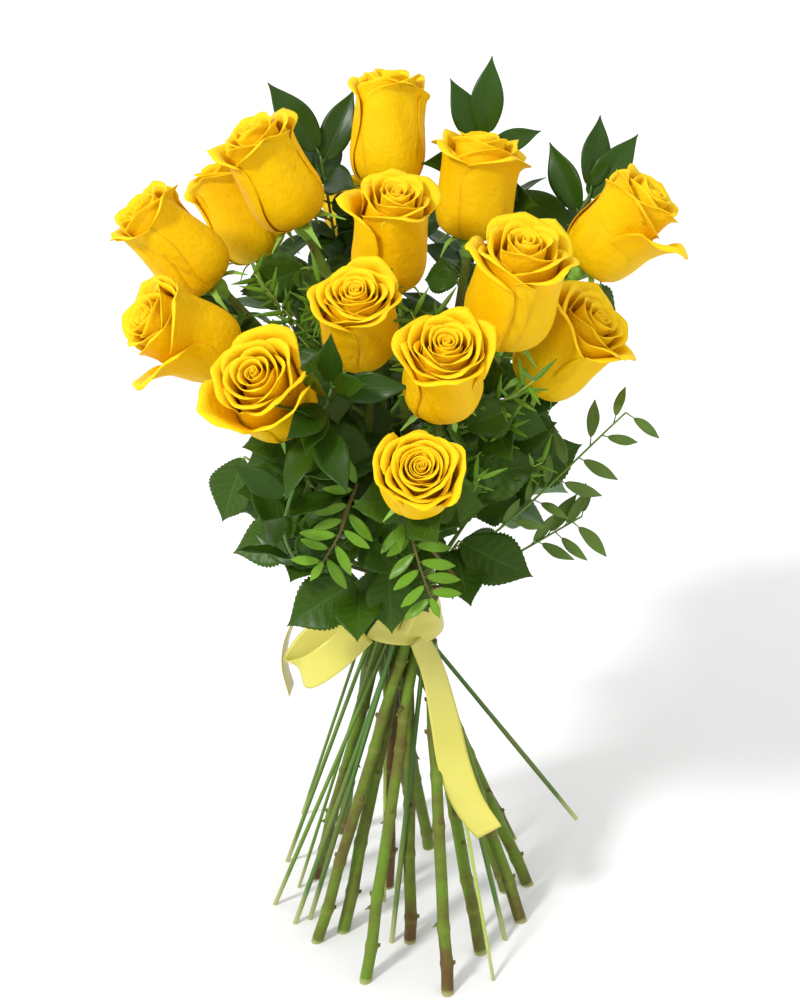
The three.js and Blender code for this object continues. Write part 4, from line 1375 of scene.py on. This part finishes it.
# ---- Stage ----
def build_stage(context):
    bpy.ops.object.select_all(action="DESELECT")
    bpy.ops.mesh.primitive_plane_add(size=STAGE["floor"], location=(0, 0, 0))
    floor = bpy.context.object
    floor.name = "paper_sweep"
    bpy.ops.object.transform_apply(location=True, rotation=True, scale=True)
    dress(floor, floor_finish())

    world = bpy.data.worlds.new("white studio")
    context.scene.world = world
    world.use_nodes = True
    sky = world.node_tree.nodes["Background"]
    sky.inputs["Color"].default_value = (1, 1, 1, 1)
    sky.inputs["Strength"].default_value = 1.0
    context.scene.view_settings.view_transform = "Standard"  # the colours are chosen for plain sRGB

    centre = TIE + np.array((0, 0, STAGE["aim_above_tie"]))
    key = bpy.data.lights.new("key", "SUN")  # a broad, even light from the upper left front
    key.energy, key.angle = STAGE["sun"], math.radians(STAGE["sun_spread"])
    key_object = bpy.data.objects.new("key", key)
    context.scene.collection.objects.link(key_object)
    aim_at(key_object, centre + 2 * towards(*STAGE["sun_way"]), centre)

    camera = bpy.data.cameras.new("camera")
    camera.lens, camera.sensor_width = STAGE["lens"], STAGE["sensor"]
    camera_object = bpy.data.objects.new("camera", camera)
    context.scene.collection.objects.link(camera_object)
    aim_at(camera_object, centre + STAGE["camera_distance"] * towards(*STAGE["camera_way"]), centre)
    context.scene.camera = camera_object


def aim_at(thing, place, target):
    thing.location = place
    thing.rotation_euler = Vector(target - place).to_track_quat("-Z", "Y").to_euler()


# ---- Operators, panel and registration ----
class BOUQUET_OT_stage(bpy.types.Operator):
    """Adds the pale sweep, the studio light and the camera"""

    bl_idname = "bouquet.stage"
    bl_label = "Stage"

    def execute(self, context):
        build_stage(context)
        return {"FINISHED"}


class BOUQUET_OT_blooms(bpy.types.Operator):
    """Adds the petals of the fifteen roses"""

    bl_idname = "bouquet.blooms"
    bl_label = "Rose blooms"

    def execute(self, context):
        build_blooms(context)
        return {"FINISHED"}


class BOUQUET_OT_stems(bpy.types.Operator):
    """Adds the rose stems with their nodes, thorns, hips and sepals"""

    bl_idname = "bouquet.stems"
    bl_label = "Rose stems"

    def execute(self, context):
        build_stems(context)
        return {"FINISHED"}


class BOUQUET_OT_rose_leaves(bpy.types.Operator):
    """Adds the serrated rose leaves"""

    bl_idname = "bouquet.rose_leaves"
    bl_label = "Rose leaves"

    def execute(self, context):
        build_rose_leaves(context)
        return {"FINISHED"}


class BOUQUET_OT_ruscus(bpy.types.Operator):
    """Adds the glossy ruscus sprays"""

    bl_idname = "bouquet.ruscus"
    bl_label = "Ruscus"

    def execute(self, context):
        build_ruscus(context)
        return {"FINISHED"}


class BOUQUET_OT_fine_greens(bpy.types.Operator):
    """Adds the mastic, trailing and feathery sprigs"""

    bl_idname = "bouquet.fine_greens"
    bl_label = "Fine greenery"

    def execute(self, context):
        build_fine_greens(context)
        return {"FINISHED"}


class BOUQUET_OT_twine(bpy.types.Operator):
    """Adds the twine that binds the stems"""

    bl_idname = "bouquet.twine"
    bl_label = "Twine"

    def execute(self, context):
        build_twine(context)
        return {"FINISHED"}


class BOUQUET_OT_ribbon(bpy.types.Operator):
    """Adds the satin ribbon: its turn, knot, loop and tails"""

    bl_idname = "bouquet.ribbon"
    bl_label = "Satin ribbon"

    def execute(self, context):
        build_ribbon(context)
        return {"FINISHED"}


STEPS = (
    BOUQUET_OT_stage, BOUQUET_OT_blooms, BOUQUET_OT_stems, BOUQUET_OT_rose_leaves, BOUQUET_OT_ruscus,
    BOUQUET_OT_fine_greens, BOUQUET_OT_twine, BOUQUET_OT_ribbon,
)


class BOUQUET_PT_panel(bpy.types.Panel):
    """Lists the sizes, the colours and the steps of the bouquet"""

    bl_idname = "BOUQUET_PT_panel"
    bl_label = "Bouquet"
    bl_space_type = "VIEW_3D"
    bl_region_type = "UI"
    bl_category = "Bouquet"

    def draw(self, context):
        for group in (context.scene.bouquet_sizes, context.scene.bouquet_colours):
            for name in group.__annotations__:
                self.layout.prop(group, name)
        for step in STEPS:
            self.layout.operator(step.bl_idname)


CLASSES = (BouquetSizes, BouquetColours, *STEPS, BOUQUET_PT_panel)


def register():
    for one in CLASSES:
        bpy.utils.register_class(one)
    bpy.types.Scene.bouquet_sizes = bpy.props.PointerProperty(type=BouquetSizes)
    bpy.types.Scene.bouquet_colours = bpy.props.PointerProperty(type=BouquetColours)


def unregister():
    del bpy.types.Scene.bouquet_sizes
    del bpy.types.Scene.bouquet_colours
    for one in reversed(CLASSES):
        bpy.utils.unregister_class(one)


def main():
    register()
    bpy.ops.bouquet.stage()
    bpy.ops.bouquet.blooms()
    bpy.ops.bouquet.stems()
    bpy.ops.bouquet.rose_leaves()
    bpy.ops.bouquet.ruscus()
    bpy.ops.bouquet.fine_greens()
    bpy.ops.bouquet.twine()
    bpy.ops.bouquet.ribbon()


if __name__ == "__main__":
    main()
